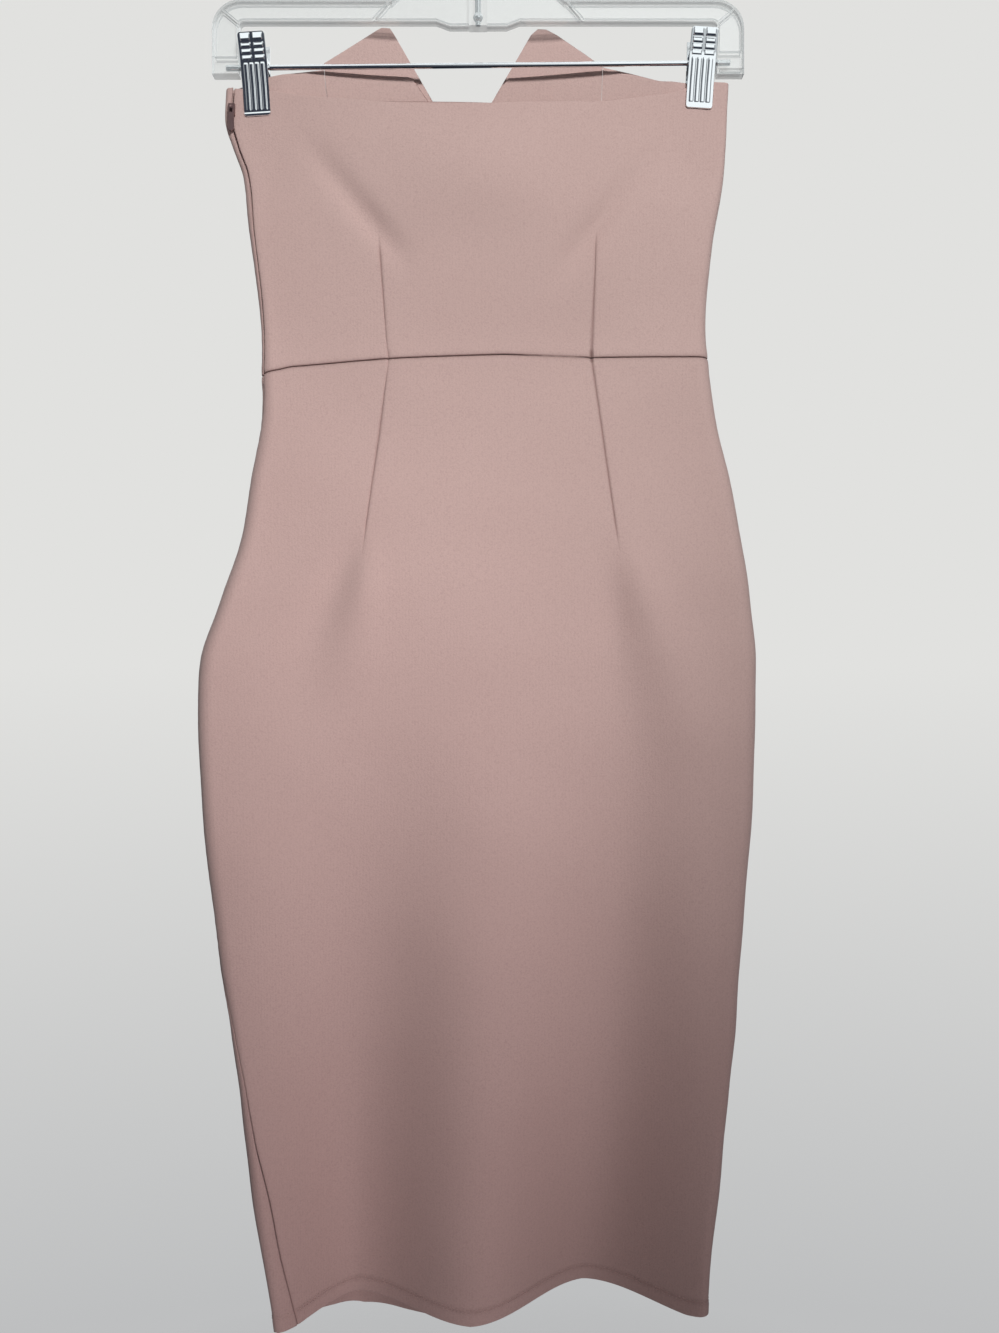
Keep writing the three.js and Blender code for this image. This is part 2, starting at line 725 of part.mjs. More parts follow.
function hangerFrame() {
  const web = toSolid(slabXZ(frameOutline(0), FRAME.web));
  const full = toSolid(slabXZ(frameOutline(0), FRAME.lipDepth));
  const lips = full.subtract(toSolid(slabXZ(frameOutline(FRAME.lipThick), FRAME.lipDepth + 2)));
  const bossHeight = FRAME.humpZ + 3 - FRAME.dipZ;
  const boss = box(FRAME.bossWidth, FRAME.socketDepth, bossHeight, 0, 0, FRAME.dipZ + bossHeight / 2);
  const pieces = [boss];
  const armWidth = FRAME.half - FRAME.armInner;
  for (const sign of [-1, 1]) {
    const humpFoot = sign * (FRAME.humpBase + 1);
    pieces.push(ribBetween(sign * FRAME.dipRib, FRAME.low + 0.4, humpFoot, FRAME.top - 0.4));
    const armTop = sign * FRAME.armRib;
    pieces.push(ribBetween(sign * (FRAME.armInner + 0.5), FRAME.low - 1, armTop, FRAME.top - 6));
    const socket = box(armWidth - 0.5, FRAME.socketDepth, FRAME.socketHeight);
    const barZ = sign < 0 ? BAR.leftZ : BAR.rightZ;
    pieces.push(socket.translate(sign * (FRAME.armInner + armWidth / 2), 0, barZ));
  }
  const sockets = toSolid(alongBar(rod(BAR.radius + FIT, 2 * (BAR.half + FIT))));
  const bore = toSolid(hookEnd(FIT));
  return fromSolid(web.add(lips).add(joined(pieces)).subtract(sockets).subtract(bore));
}

// The hook rises from the hanger, swings to one side and turns over the rail
function hangerHook() {
  const radius = HOOK.inner + HOOK.wire;
  const centre = -HOOK.inner;
  const swing = new THREE.CubicBezierCurve3(
    new THREE.Vector3(0, 0, HOOK.turnFrom),
    new THREE.Vector3(0, 0, HOOK.turnFrom + 11),
    new THREE.Vector3(radius, 0, centre - 15),
    new THREE.Vector3(radius, 0, centre),
  );
  const points = [new THREE.Vector3(0, 0, FRAME.humpZ - 6), ...swing.getPoints(9)];
  for (let i = 1; i <= 20; i += 1) {
    const angle = THREE.MathUtils.degToRad(HOOK_END_DEGREES * i / 20);
    points.push(new THREE.Vector3(radius * Math.cos(angle), 0, centre + radius * Math.sin(angle)));
  }
  const circle = new THREE.Shape();
  circle.absarc(0, 0, HOOK.wire, 0, Math.PI * 2, false);
  const tube = new THREE.ExtrudeGeometry(circle, {
    steps: 34,
    curveSegments: 5,
    extrudePath: new THREE.CatmullRomCurve3(points, false, "centripetal"),
  });
  const tip = points[points.length - 1];
  const cap = new THREE.SphereGeometry(HOOK.wire * 1.25, 10, 7).translate(tip.x, tip.y, tip.z);
  return fromSolid(joined([tube, cap, hookEnd(0)]));
}

// One plate of a clip: a bent strip with grip ridges on its lever and long ribs on its jaw
function clipPlate(clip, sign) {
  const line = PLATE_LINE.map((row) => ({ z: Math.max(row.z, -clip.jaw), out: row.out }));
  const strip = new THREE.Shape();
  strip.moveTo(sign * line[0].out, line[0].z);
  line.slice(1).forEach((row) => strip.lineTo(sign * row.out, row.z));
  [...line].reverse().forEach((row) => strip.lineTo(sign * (row.out + CLIP.plate), row.z));
  strip.closePath();
  const pieces = [slabYZ(strip, CLIP.width)];
  const outAt = (z) => lineAt(line, "z", z, "out") + CLIP.plate;
  const ribBends = [-clip.jaw, -13, -5, 1];
  const ribPitch = (CLIP.width - 3) / (CLIP.ribs - 0.6);
  for (let i = 0; i < CLIP.ribs; i += 1) {
    const rib = new THREE.Shape();
    const heightOf = (z) => (z === -clip.jaw ? z + 3.5 : z);
    rib.moveTo(sign * (outAt(ribBends[0]) - 0.2), heightOf(ribBends[0]));
    ribBends.slice(1).forEach((z) => rib.lineTo(sign * (outAt(z) - 0.2), z));
    [...ribBends].reverse().forEach((z) => rib.lineTo(sign * (outAt(z) + CLIP.rib), heightOf(z)));
    rib.closePath();
    const x = (i - (CLIP.ribs - 1) / 2) * ribPitch;
    pieces.push(slabYZ(rib, CLIP.ribWidth).translate(x, 0, 0));
  }
  for (let row = 0; row < CLIP.ridges; row += 1) {
    const z = CLIP.firstRidge + row * CLIP.ridgePitch;
    for (const column of [-1, 1]) {
      const ridge = box(CLIP.width / 2 - 1.6, 1.4, 1.5).rotateX(sign * CLIP.ridgeTilt);
      pieces.push(ridge.translate(column * (CLIP.width / 4 - 0.2), sign * outAt(z), z));
    }
  }
  const earX = CLIP.width / 2 - CLIP.plate / 2 - (sign > 0 ? CLIP.plate + FIT : 0);
  const reach = CLIP.earReach + CLIP.earOut;
  for (const side of [-1, 1]) {
    const ear = box(CLIP.plate, reach, 2 * CLIP.earHalf);
    pieces.push(ear.translate(side * earX, sign * (CLIP.earOut - reach / 2), 0));
  }
  const lip = box(CLIP.width, 0.8, 1.4, 0, sign * (outAt(-clip.jaw) + 0.2), 0.7 - clip.jaw);
  pieces.push(lip);
  const solid = joined(pieces).subtract(toSolid(rod(BAR.radius + FIT + CLIP.leanRoom, CLIP.width + 2)));
  return fromSolid(solid);
}

function clipSpring() {
  const length = CLIP.width - 4 * CLIP.plate - 4 * FIT - CLIP.leanRoom;
  const turns = 4;
  const inner = BAR.radius + FIT;
  const profile = [new THREE.Vector2(inner, 0)];
  for (let i = 0; i < turns; i += 1) {
    const pitch = length / turns;
    profile.push(new THREE.Vector2(inner + 0.7, i * pitch + (i ? 0 : 0.01)));
    profile.push(new THREE.Vector2(inner + 1.3, (i + 0.5) * pitch));
  }
  profile.push(new THREE.Vector2(inner + 0.7, length));
  profile.push(new THREE.Vector2(inner, length));
  profile.push(new THREE.Vector2(inner, 0));
  return new THREE.LatheGeometry(profile, 12).rotateZ(-Math.PI / 2).translate(-length / 2, 0, 0);
}

function barZAt(x) {
  return THREE.MathUtils.mapLinear(x, -BAR.half, BAR.half, BAR.leftZ, BAR.rightZ);
}

const group = new THREE.Group();

function add(name, geometry, look, position = [0, 0, 0], lean = 0) {
  const mesh = new THREE.Mesh(geometry, look);
  mesh.name = name;
  mesh.position.set(...position);
  mesh.rotation.y = THREE.MathUtils.degToRad(lean);
  group.add(mesh);
}

const clothLook = () => material(COLOUR.cloth, 0.85, 0);
const insideLook = () => material(COLOUR.inside, 0.85, 0);
const chromeLook = () => material(COLOUR.chrome, 0.2, 1);

// The back bodice, with its two darts between the side seams
add("back_bodice", wall({
  rails: [
    backFromZip,
    dartRail(DARTS.bodiceLeft, -DART_HALF_WIDTH),
    dartRail(DARTS.bodiceLeft, 0),
    dartRail(DARTS.bodiceLeft, DART_HALF_WIDTH),
    dartRail(DARTS.bodiceRight, -DART_HALF_WIDTH),
    dartRail(DARTS.bodiceRight, 0),
    dartRail(DARTS.bodiceRight, DART_HALF_WIDTH),
    rightRound,
    moved(rightSeam, () => -HALF_GAP),
  ],
  splits: [9, 1, 1, 10, 1, 1, 7, 4],
  top: BACK_TOP,
  bottom: WAIST_BACK,
  rows: BODICE_ROWS,
  bottomGap: SEAM_GAP / 2,
}), clothLook());

// The back skirt, from the waist seam to the waved hem
add("back_skirt", wall({
  rails: [
    backFromZip,
    dartRail(DARTS.skirtLeft, -DART_HALF_WIDTH),
    dartRail(DARTS.skirtLeft, 0),
    dartRail(DARTS.skirtLeft, DART_HALF_WIDTH),
    dartRail(DARTS.skirtRight, -DART_HALF_WIDTH, -0.05),
    dartRail(DARTS.skirtRight, 0, -0.05),
    dartRail(DARTS.skirtRight, DART_HALF_WIDTH, -0.05),
    rightRound,
    moved(rightSeam, () => -HALF_GAP),
  ],
  splits: [9, 1, 1, 10, 1, 1, 7, 4],
  top: WAIST_BACK,
  bottom: HEM_BACK,
  rows: SKIRT_ROWS,
  topGap: SEAM_GAP / 2,
}), clothLook());

// The front skirt, which wraps past the left edge low down
add("front_skirt", wall({
  rails: [
    moved(rightSeam, () => HALF_GAP),
    dartRail(DARTS.frontRight, DART_HALF_WIDTH),
    dartRail(DARTS.frontRight, 0),
    dartRail(DARTS.frontRight, -DART_HALF_WIDTH),
    dartRail(DARTS.frontLeft, DART_HALF_WIDTH),
    dartRail(DARTS.frontLeft, 0),
    dartRail(DARTS.frontLeft, -DART_HALF_WIDTH),
    leftRound,
    frontToZip,
  ],
  splits: [7, 1, 1, 9, 1, 1, 6, 5],
  top: WAIST_FRONT,
  bottom: HEM_FRONT,
  rows: SKIRT_ROWS,
  topGap: SEAM_GAP / 2,
}), clothLook());

// The front bodice: a centre with two points and the notch, and a side on either hand
const princessLeft = seamLine("front", PRINCESS_LEFT);
const princessRight = seamLine("front", PRINCESS_RIGHT);
const facingEnd = (edgeSide) => (up) => {
  const place = placeInward(edgeSide, -FACING_SHORT, up);
  return edgeSide === "left" ? place + 4 : place;
};
const topRail = (x, lowX) => straightDown("front", x, lowX, 229, -8);

add("front_bodice_side_right", wall({
  rails: [moved(rightSeam, () => HALF_GAP), facingEnd("right"), moved(princessRight, () => -HALF_GAP)],
  splits: [2, 7],
  top: SIDE_RIGHT_TOP,
  bottom: WAIST_FRONT,
  rows: BODICE_ROWS,
  bottomGap: SEAM_GAP / 2,
}), clothLook());

add("front_bodice_centre", wall({
  rails: [
    moved(princessRight, () => HALF_GAP),
    topRail(53.7, 44),
    topRail(46.2, 38),
    topRail(40.7, 33),
    topRail(35.9, 28),
    topRail(NOTCH.x, 2),
    topRail(-57.7, -32),
    topRail(-60.5, -35),
    topRail(-66, -39),
    topRail(-69, -42),
    moved(princessLeft, () => -HALF_GAP),
  ],
  splits: [4, 1, 1, 1, 5, 5, 1, 1, 1, 4],
  top: CENTRE_TOP,
  bottom: WAIST_FRONT,
  rows: BODICE_ROWS,
  bottomGap: SEAM_GAP / 2,
}), clothLook());

add("front_bodice_side_left", wall({
  rails: [moved(princessLeft, () => HALF_GAP), facingEnd("left"), leftRound, frontToZip],
  splits: [7, 1, 6],
  top: SIDE_LEFT_TOP,
  bottom: WAIST_FRONT,
  rows: BODICE_ROWS,
  bottomGap: SEAM_GAP / 2,
}), clothLook());

// The facing of the same cloth lies inside the front's neck edge
const facing = (rails, splits) => wall({
  rails,
  splits,
  top: FACING_TOP,
  bottom: FACING_HEM,
  rows: FACING_ROWS,
  inset: CLOTH + FACING_GAP,
  thick: FACING_THICK,
});
add("facing_side_right", facing([
  facingEnd("right"),
  moved(princessRight, () => -HALF_GAP),
], [7]), insideLook());
add("facing_centre", facing([
  moved(princessRight, () => HALF_GAP),
  topRail(18.6, 12),
  topRail(NOTCH.x, 2),
  topRail(-41.5, -24),
  moved(princessLeft, () => -HALF_GAP),
], [5, 3, 3, 5]), insideLook());
add("facing_side_left", facing([moved(princessLeft, () => HALF_GAP), facingEnd("left")], [7]), insideLook());

// The zip: its coil stands in the open side seam, with a fixed slider and a hinged pull tab
const coilEdge = (sign) => moved(leftSeam, () => sign * ZIP_COIL_WIDTH / 2);
add("zip_coil", wall({
  rails: [coilEdge(-1), coilEdge(1)],
  splits: [1],
  top: BACK_TOP,
  bottom: WAIST_BACK,
  rows: BODICE_ROWS,
  bottomGap: SEAM_GAP / 2,
  inset: 0.2,
  thick: ZIP_COIL_THICK,
}), material(COLOUR.coil, 0.7, 0));

const sliderSeat = clothPoint(leftSeam(SLIDER.up), SLIDER.up);
const sliderBack = sliderSeat.y - FIT;
const pivot = new THREE.Vector3(
  sliderSeat.x,
  sliderBack - SLIDER.thick - SLIDER.archInner,
  sliderSeat.z + 0.6,
);

function zipSlider() {
  const body = box(SLIDER.width, SLIDER.thick, SLIDER.length);
  body.translate(sliderSeat.x, sliderBack - SLIDER.thick / 2, sliderSeat.z);
  const arch = new THREE.Shape();
  const foot = sliderBack - 0.5;
  arch.moveTo(foot, pivot.z - SLIDER.archOuter);
  arch.lineTo(pivot.y, pivot.z - SLIDER.archOuter);
  arch.absarc(pivot.y, pivot.z, SLIDER.archOuter, -Math.PI / 2, Math.PI / 2, true);
  arch.lineTo(foot, pivot.z + SLIDER.archOuter);
  arch.lineTo(foot, pivot.z + SLIDER.archInner);
  arch.lineTo(pivot.y, pivot.z + SLIDER.archInner);
  arch.absarc(pivot.y, pivot.z, SLIDER.archInner, Math.PI / 2, -Math.PI / 2, false);
  arch.lineTo(foot, pivot.z - SLIDER.archInner);
  arch.closePath();
  return fromSolid(joined([body, slabYZ(arch, SLIDER.archWidth).translate(sliderSeat.x, 0, 0)]));
}
add("zip_slider", zipSlider(), material(COLOUR.zipMetal, 0.45, 0.6));

// The pull hangs from its top bar, which lies in the slider's arch
function zipPull() {
  const wide = PULL.width / 2;
  const top = PULL.ring / 2 - 0.1;
  const shape = new THREE.Shape();
  shape.moveTo(-wide, top);
  shape.lineTo(-wide, top - PULL.length + wide);
  shape.absarc(0, top - PULL.length + wide, wide, Math.PI, Math.PI * 2, false);
  shape.lineTo(wide, top);
  shape.closePath();
  const hole = new THREE.Path();
  hole.moveTo(-PULL.holeWidth / 2, top - 1);
  hole.lineTo(-PULL.holeWidth / 2, top - 1 - PULL.holeLength);
  hole.lineTo(PULL.holeWidth / 2, top - 1 - PULL.holeLength);
  hole.lineTo(PULL.holeWidth / 2, top - 1);
  hole.closePath();
  shape.holes.push(hole);
  return slabXZ(shape, PULL.thick);
}
add("zip_pull", zipPull(), material(COLOUR.zipMetal, 0.4, 0.6), pivot.toArray());

// The hanger: frame, hook and bar, and the two clips that slide on the bar
add("hanger_frame", hangerFrame(), material(COLOUR.clear, 0.08, 0, 0.35));
add("hanger_hook", hangerHook(), chromeLook());
add("hanger_bar", alongBar(rod(BAR.radius, 2 * BAR.half)), chromeLook());
for (const clip of CLIPS) {
  const place = [clip.x, 0, barZAt(clip.x)];
  const named = (piece) => `clip_${clip.side}_${piece}`;
  add(named("near_plate"), clipPlate(clip, -1), chromeLook(), place, clip.lean);
  add(named("far_plate"), clipPlate(clip, 1), chromeLook(), place, clip.lean);
  add(named("spring"), clipSpring(), chromeLook(), place, THREE.MathUtils.radToDeg(barTilt()));
}

export default group;
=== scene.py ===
import math

import bpy
import numpy as np
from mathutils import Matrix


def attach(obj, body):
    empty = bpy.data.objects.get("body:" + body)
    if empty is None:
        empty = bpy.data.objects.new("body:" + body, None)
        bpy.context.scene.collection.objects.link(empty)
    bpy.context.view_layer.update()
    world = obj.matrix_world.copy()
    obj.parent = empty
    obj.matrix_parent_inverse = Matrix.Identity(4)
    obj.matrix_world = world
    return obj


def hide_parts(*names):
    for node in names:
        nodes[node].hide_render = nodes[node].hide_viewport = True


# A strapless pencil dress of double-knit crepe, hung back to the viewer by the two metal clips of a
# clear plastic hanger. The scene is in metres; the dress's own sizes are in millimetres, as it is cut.
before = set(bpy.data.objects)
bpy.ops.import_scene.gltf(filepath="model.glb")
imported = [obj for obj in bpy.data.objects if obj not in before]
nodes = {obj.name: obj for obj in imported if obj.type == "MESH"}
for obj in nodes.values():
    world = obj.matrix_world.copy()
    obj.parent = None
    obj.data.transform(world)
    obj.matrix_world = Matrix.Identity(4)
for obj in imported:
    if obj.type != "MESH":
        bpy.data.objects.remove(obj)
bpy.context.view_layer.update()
scene = bpy.context.scene
MM = 0.001

# Camera: level with the dress's hips and square to its back, close enough that the hanger and the
# hem are seen at a slight slant.
CAMERA_PLACE = (0.0144, -0.850, -0.5159)
FRAME_HEIGHT = 0.8958
LENS_SENSOR = 36.0

camera_data = bpy.data.cameras.new("camera")
camera_data.sensor_width = LENS_SENSOR
camera_data.lens = LENS_SENSOR * -CAMERA_PLACE[1] / FRAME_HEIGHT
camera = bpy.data.objects.new("camera", camera_data)
camera.location = CAMERA_PLACE
camera.rotation_euler = (math.radians(90), 0, 0)
scene.collection.objects.link(camera)
scene.camera = camera
scene.view_settings.view_transform = "Standard"


# Studio: a pale floor well below the hem and a pale surround that darkens toward the floor. One soft
# lamp hangs high in front, one stands low on the right, so that the skirt's waves show, a weak one lights
# the zipped side, and one lights the far side. Bright metal sees a light wall on the right, a light
# ceiling and a dark corner on the left.
class Value:
    """A node's output. Sums on it add Math nodes, and ``node`` adds any other node to the same tree."""

    def __init__(self, tree, socket=None):
        self.tree = tree
        self.socket = socket

    def node(self, kind, settings=None, inputs=None, output=0):
        made = self.tree.nodes.new(kind)
        for name, setting in (settings or {}).items():
            if name == "stops":
                while len(made.color_ramp.elements) < len(setting):
                    made.color_ramp.elements.new(0.5)
                for element, (place, colour) in zip(made.color_ramp.elements, setting):
                    element.position = place
                    element.color = colour
            else:
                setattr(made, name, setting)
        for name, given in (inputs or {}).items():
            if isinstance(given, Value):
                self.tree.links.new(given.socket, made.inputs[name])
            else:
                made.inputs[name].default_value = given
        return Value(self.tree, made.outputs[output]) if len(made.outputs) else made

    def sum_of(self, operation, *terms):
        return self.node("ShaderNodeMath", {"operation": operation}, dict(enumerate(terms)))

    def __add__(self, other):
        return self.sum_of("ADD", self, other)

    def __sub__(self, other):
        return self.sum_of("SUBTRACT", self, other)

    def __rsub__(self, other):
        return self.sum_of("SUBTRACT", other, self)

    def __mul__(self, other):
        return self.sum_of("MULTIPLY", self, other)

    def __truediv__(self, other):
        return self.sum_of("DIVIDE", self, other)

    __radd__ = __add__
    __rmul__ = __mul__

    def clamped(self):
        return self.node("ShaderNodeClamp", inputs={0: self})

    def mixed(self, first, second):
        """Two colours, mixed by this share of the second."""
        return self.node(
            "ShaderNodeMix",
            {"data_type": "RGBA"},
            {"Factor": self, 6: first, 7: second},
            output=2,
        )


def linear(red, green, blue, alpha=1.0):
    """A colour as seen on a screen, from 0 to 255, turned into the light it stands for."""
    shares = [c / 255 for c in (red, green, blue)]
    return (*[c / 12.92 if c <= 0.04045 else ((c + 0.055) / 1.055) ** 2.4 for c in shares], alpha)


def new_material(name):
    """An empty material, and the tree in which its nodes are made."""
    material = bpy.data.materials.new(name)
    material.use_nodes = True
    material.node_tree.nodes.clear()
    return material, Value(material.node_tree)


SURROUND_HIGH = linear(225, 225, 223)
SURROUND_LOW = linear(190, 191, 192)
SURROUND_LIGHT = (0.80, 0.80, 0.83, 1.0)
SURROUND_STRENGTH = 0.15
MIRRORED_BRIGHT = linear(243, 248, 250)
MIRRORED_DARK = linear(52, 56, 66)
MIRRORED_STRENGTH = 1.25
HORIZON_FADE = 0.44
WALL_FOOT, WALL_LEFT, WALL_RIGHT = -0.34, -0.06, 0.62
FAR_SIDES, FAR_SIDE_SHARE = 0.5, 0.25
CEILING = 0.47

world = bpy.data.worlds.new("surround")
world.use_nodes = True
world.node_tree.nodes.clear()
sky = Value(world.node_tree)
direction = sky.node("ShaderNodeTexCoord", output=0)
height = sky.node("ShaderNodeSeparateXYZ", inputs={0: direction}, output=2)
rightward = sky.node("ShaderNodeSeparateXYZ", inputs={0: direction}, output=0)
shade = ((height + HORIZON_FADE) / HORIZON_FADE).clamped().mixed(SURROUND_LOW, SURROUND_HIGH)
seen_light = sky.node("ShaderNodeBackground", inputs={0: shade, 1: 1.0})
cast_light = sky.node("ShaderNodeBackground", inputs={0: SURROUND_LIGHT, 1: SURROUND_STRENGTH})
raised = ((height - WALL_FOOT) * 4).clamped()
wall = ((rightward - WALL_LEFT) * 7).clamped() * ((WALL_RIGHT - rightward) * 5).clamped() * raised
sideways = rightward.sum_of("ABSOLUTE", rightward)
far_sides = ((sideways - FAR_SIDES) * 6).clamped() * raised * FAR_SIDE_SHARE
ceiling = ((height - CEILING) * 8).clamped()
mirrored = (wall + far_sides + ceiling).clamped().mixed(MIRRORED_DARK, MIRRORED_BRIGHT)
mirrored_light = sky.node("ShaderNodeBackground", inputs={0: mirrored, 1: MIRRORED_STRENGTH})
straight = sky.node("ShaderNodeLightPath", output="Is Camera Ray")
glossy = sky.node("ShaderNodeLightPath", output="Is Glossy Ray")
cast = sky.node("ShaderNodeMixShader", inputs={0: glossy, 1: cast_light, 2: mirrored_light})
both = sky.node("ShaderNodeMixShader", inputs={0: straight, 1: cast, 2: seen_light})
sky.node("ShaderNodeOutputWorld", inputs={0: both})
scene.world = world

FLOOR_Z = -1.30
FLOOR_RADIUS = 1.5
FLOOR_COLOUR = linear(214, 213, 211)
FLOOR_FADE = 0.9


def lay_floor():
    rings = 24
    turns = 48
    points = [(0, 0, FLOOR_Z)]
    for ring in range(1, rings + 1):
        for turn in range(turns):
            angle = 2 * math.pi * turn / turns
            radius = FLOOR_RADIUS * ring / rings
            points.append((radius * math.cos(angle), radius * math.sin(angle), FLOOR_Z))
    faces = [(0, 1 + turn, 1 + (turn + 1) % turns) for turn in range(turns)]
    for ring in range(rings - 1):
        first = 1 + ring * turns
        for turn in range(turns):
            beside = (turn + 1) % turns
            faces.append((first + turn, first + turns + turn, first + turns + beside, first + beside))
    mesh = bpy.data.meshes.new("floor")
    mesh.from_pydata(points, [], faces)
    floor = bpy.data.objects.new("floor", mesh)
    scene.collection.objects.link(floor)
    material, paint = new_material("pale_floor")
    spot = paint.node("ShaderNodeTexCoord", output=3)
    away = paint.node("ShaderNodeVectorMath", {"operation": "LENGTH"}, {0: spot}, output=1)
    fade = paint.node("ShaderNodeClamp", inputs={0: (FLOOR_RADIUS - away) / FLOOR_FADE})
    bare = paint.node("ShaderNodeBsdfTransparent")
    matt = paint.node("ShaderNodeBsdfDiffuse", inputs={0: FLOOR_COLOUR})
    surface = paint.node("ShaderNodeMixShader", inputs={0: fade, 1: bare, 2: matt})
    paint.node("ShaderNodeOutputMaterial", inputs={0: surface})
    mesh.materials.append(material)


lay_floor()


LAMP_BLEND = 0.85


def hang_lamp(name, place, aim, size, power, beam, colour):
    """A soft lamp with a beam in degrees, which fades over most of its width."""
    lamp_data = bpy.data.lights.new(name, "SPOT")
    lamp_data.spot_size = math.radians(beam)
    lamp_data.spot_blend = LAMP_BLEND
    lamp_data.shadow_soft_size = size / 2
    lamp_data.energy = power
    lamp_data.color = colour
    lamp = bpy.data.objects.new(name, lamp_data)
    lamp.location = place
    across = [a - p for a, p in zip(aim, place)]
    lamp.rotation_euler = (
        math.acos(-across[2] / math.hypot(*across)),
        0,
        math.atan2(across[1], across[0]) - math.pi / 2,
    )
    lamp.visible_glossy = False
    scene.collection.objects.link(lamp)


hang_lamp("top_lamp", (0.55, -1.80, 0.55), (0.01, 0.0, -0.21), 0.3, 140, 30, (0.97, 1.0, 0.99))
hang_lamp("side_lamp", (0.61, -1.375, -1.0), (-0.30, 0.0, -0.70), 0.3, 35, 39.5, (1.0, 0.885, 0.91))
hang_lamp("zip_lamp", (-1.5, -0.25, -0.25), (-0.16, 0.0, -0.30), 0.3, 8, 26, (1.0, 0.95, 0.94))
hang_lamp("far_lamp", (-0.4, 2.0, 0.3), (0.0, 0.0, -0.45), 0.5, 120, 52, (1.0, 0.97, 0.96))

# The dress's form: two soft, nearly flat faces that meet in rounded sides. It is nipped at the waist,
# full at the hips, and falls in long waves to the hem. Heights called "up" are from the waist seam.
WAIST_Z = -308.6
ROUND_SHARE = 0.16
BACK_SWELL = 1.25
FRONT_SWELL = 0.85

# Height; the left and right sides; the rounding of the sides; the depth of back and front; the swell's share
SECTIONS = [
    (240, -168.5, 168.0, 2.7, 9, 15, 0.79),
    (185, -168.5, 168.0, 2.7, 9, 15, 0.79),
    (158, -169.5, 166.6, 2.75, 11, 16, 0.79),
    (140, -164.0, 166.0, 3.6, 13, 17, 0.84),
    (120, -157.3, 164.6, 4.6, 15, 18, 0.9),
    (79, -152.6, 157.9, 6.5, 17, 19, 1),
    (39, -147.9, 153.8, 8, 17, 18, 1),
    (-1, -144.9, 153.2, 9, 17, 18, 1),
    (-42, -144.0, 159.0, 10, 19, 20, 1),
    (-82, -152.3, 168.3, 11, 21, 23, 1),
    (-122, -159.0, 176.6, 12, 24, 26, 1),
    (-163, -172.4, 182.4, 12, 26, 27, 1),
    (-203, -185.2, 186.6, 12, 26, 27, 1),
    (-263, -186.4, 185.0, 12, 25, 26, 1),
    (-344, -178.4, 180.2, 11, 22, 23, 1),
    (-404, -169.0, 174.6, 10, 20, 20, 1),
    (-465, -160.0, 170.6, 9, 17, 17, 1),
    (-525, -151.6, 163.9, 9, 15, 15, 1),
    (-586, -141.8, 155.7, 8, 13, 13, 1),
    (-633, -132.6, 152.5, 8, 12, 12, 1),
    (-660, -129.6, 151.0, 8, 12, 12, 1),
]
# Height; degrees round the rounded left side, positive on the back; millimetres past it
LEFT_SEAM = [
    (190, 90, 2.3),
    (158, 90, 2.0),
    (120, 82, 0),
    (79, 60, 0),
    (39, 51, 0),
    (0, 39, 0),
    (-20, 32, 0),
    (-90, -10, 0),
    (-330, -14, 0),
    (-472, 66, 0),
    (-547, 90, 3),
    (-589, 90, 5),
    (-640, 90, 6),
]
RIGHT_SEAM_INWARD = 3

# The skirt's waves: where each crest or hollow lies high up and at the hem, and its depth at the hem
WAVES = [
    (-190, -139, -29),
    (-66, -80.7, 21),
    (8, -4.1, -13),
    (105, 74, 35),
    (150, 163, -13),
    (200, 200, -8),
]
WAVE_TOP = -170
WAVE_BOTTOM = -633
WAVE_GROWTH = 1.1

# Soft folds: the face, x and up of both ends, the width at both ends, the depth along +Y, and the share
# of the way at which it is deepest. Where a fold is a roll, the cloth sinks on its left and rises on its
# right.
FOLDS = [
    ("both", (-130, 162), (-38, 47), 8.5, 8.5, 4.6, 0.62, False),
    ("both", (130, 155), (40, 32), 8.5, 8.5, 4.6, 0.6, False),
    ("back", (-70, 120), (78, 120), 38, 38, -6, 0.5, False),
    ("back", (-70, -112), (-118, -262), 6, 24, 3, 0.3, True),
    ("back", (89, -110), (133, -330), 7, 34, 4.5, 0.3, True),
    ("front", (-82, 135), (-54, 92), 30, 30, 6, 0.5, False),
    ("front", (80, 135), (52, 92), 30, 30, 6, 0.5, False),
    ("front", (-68, -90), (-100, -250), 8, 24, -3.5, 0.4, False),
    ("front", (78, -90), (108, -250), 8, 24, -3, 0.4, False),
]

# Sewn darts: the face, x and up at the waist seam, x and up at the tip
DARTS = {
    "bodice_left": ("back", -59.2, -4, -65.9, 80.6),
    "bodice_right": ("back", 75.2, -3, 78.6, 82.7),
    "skirt_left": ("back", -58.5, -4, -76, -134.4),
    "skirt_right": ("back", 75.2, -3, 93.4, -134.4),
    "front_left": ("front", -62, -7, -70, -100),
    "front_right": ("front", 70, -4, 78, -100),
}
DART_DEPTH = 1.1
DART_REACH = 0.75
DART_HALF_WIDTH = 2.6


def smooth(value, low, high):
    t = np.clip((value - low) / (high - low), 0, 1)
    return t * t * (3 - 2 * t)


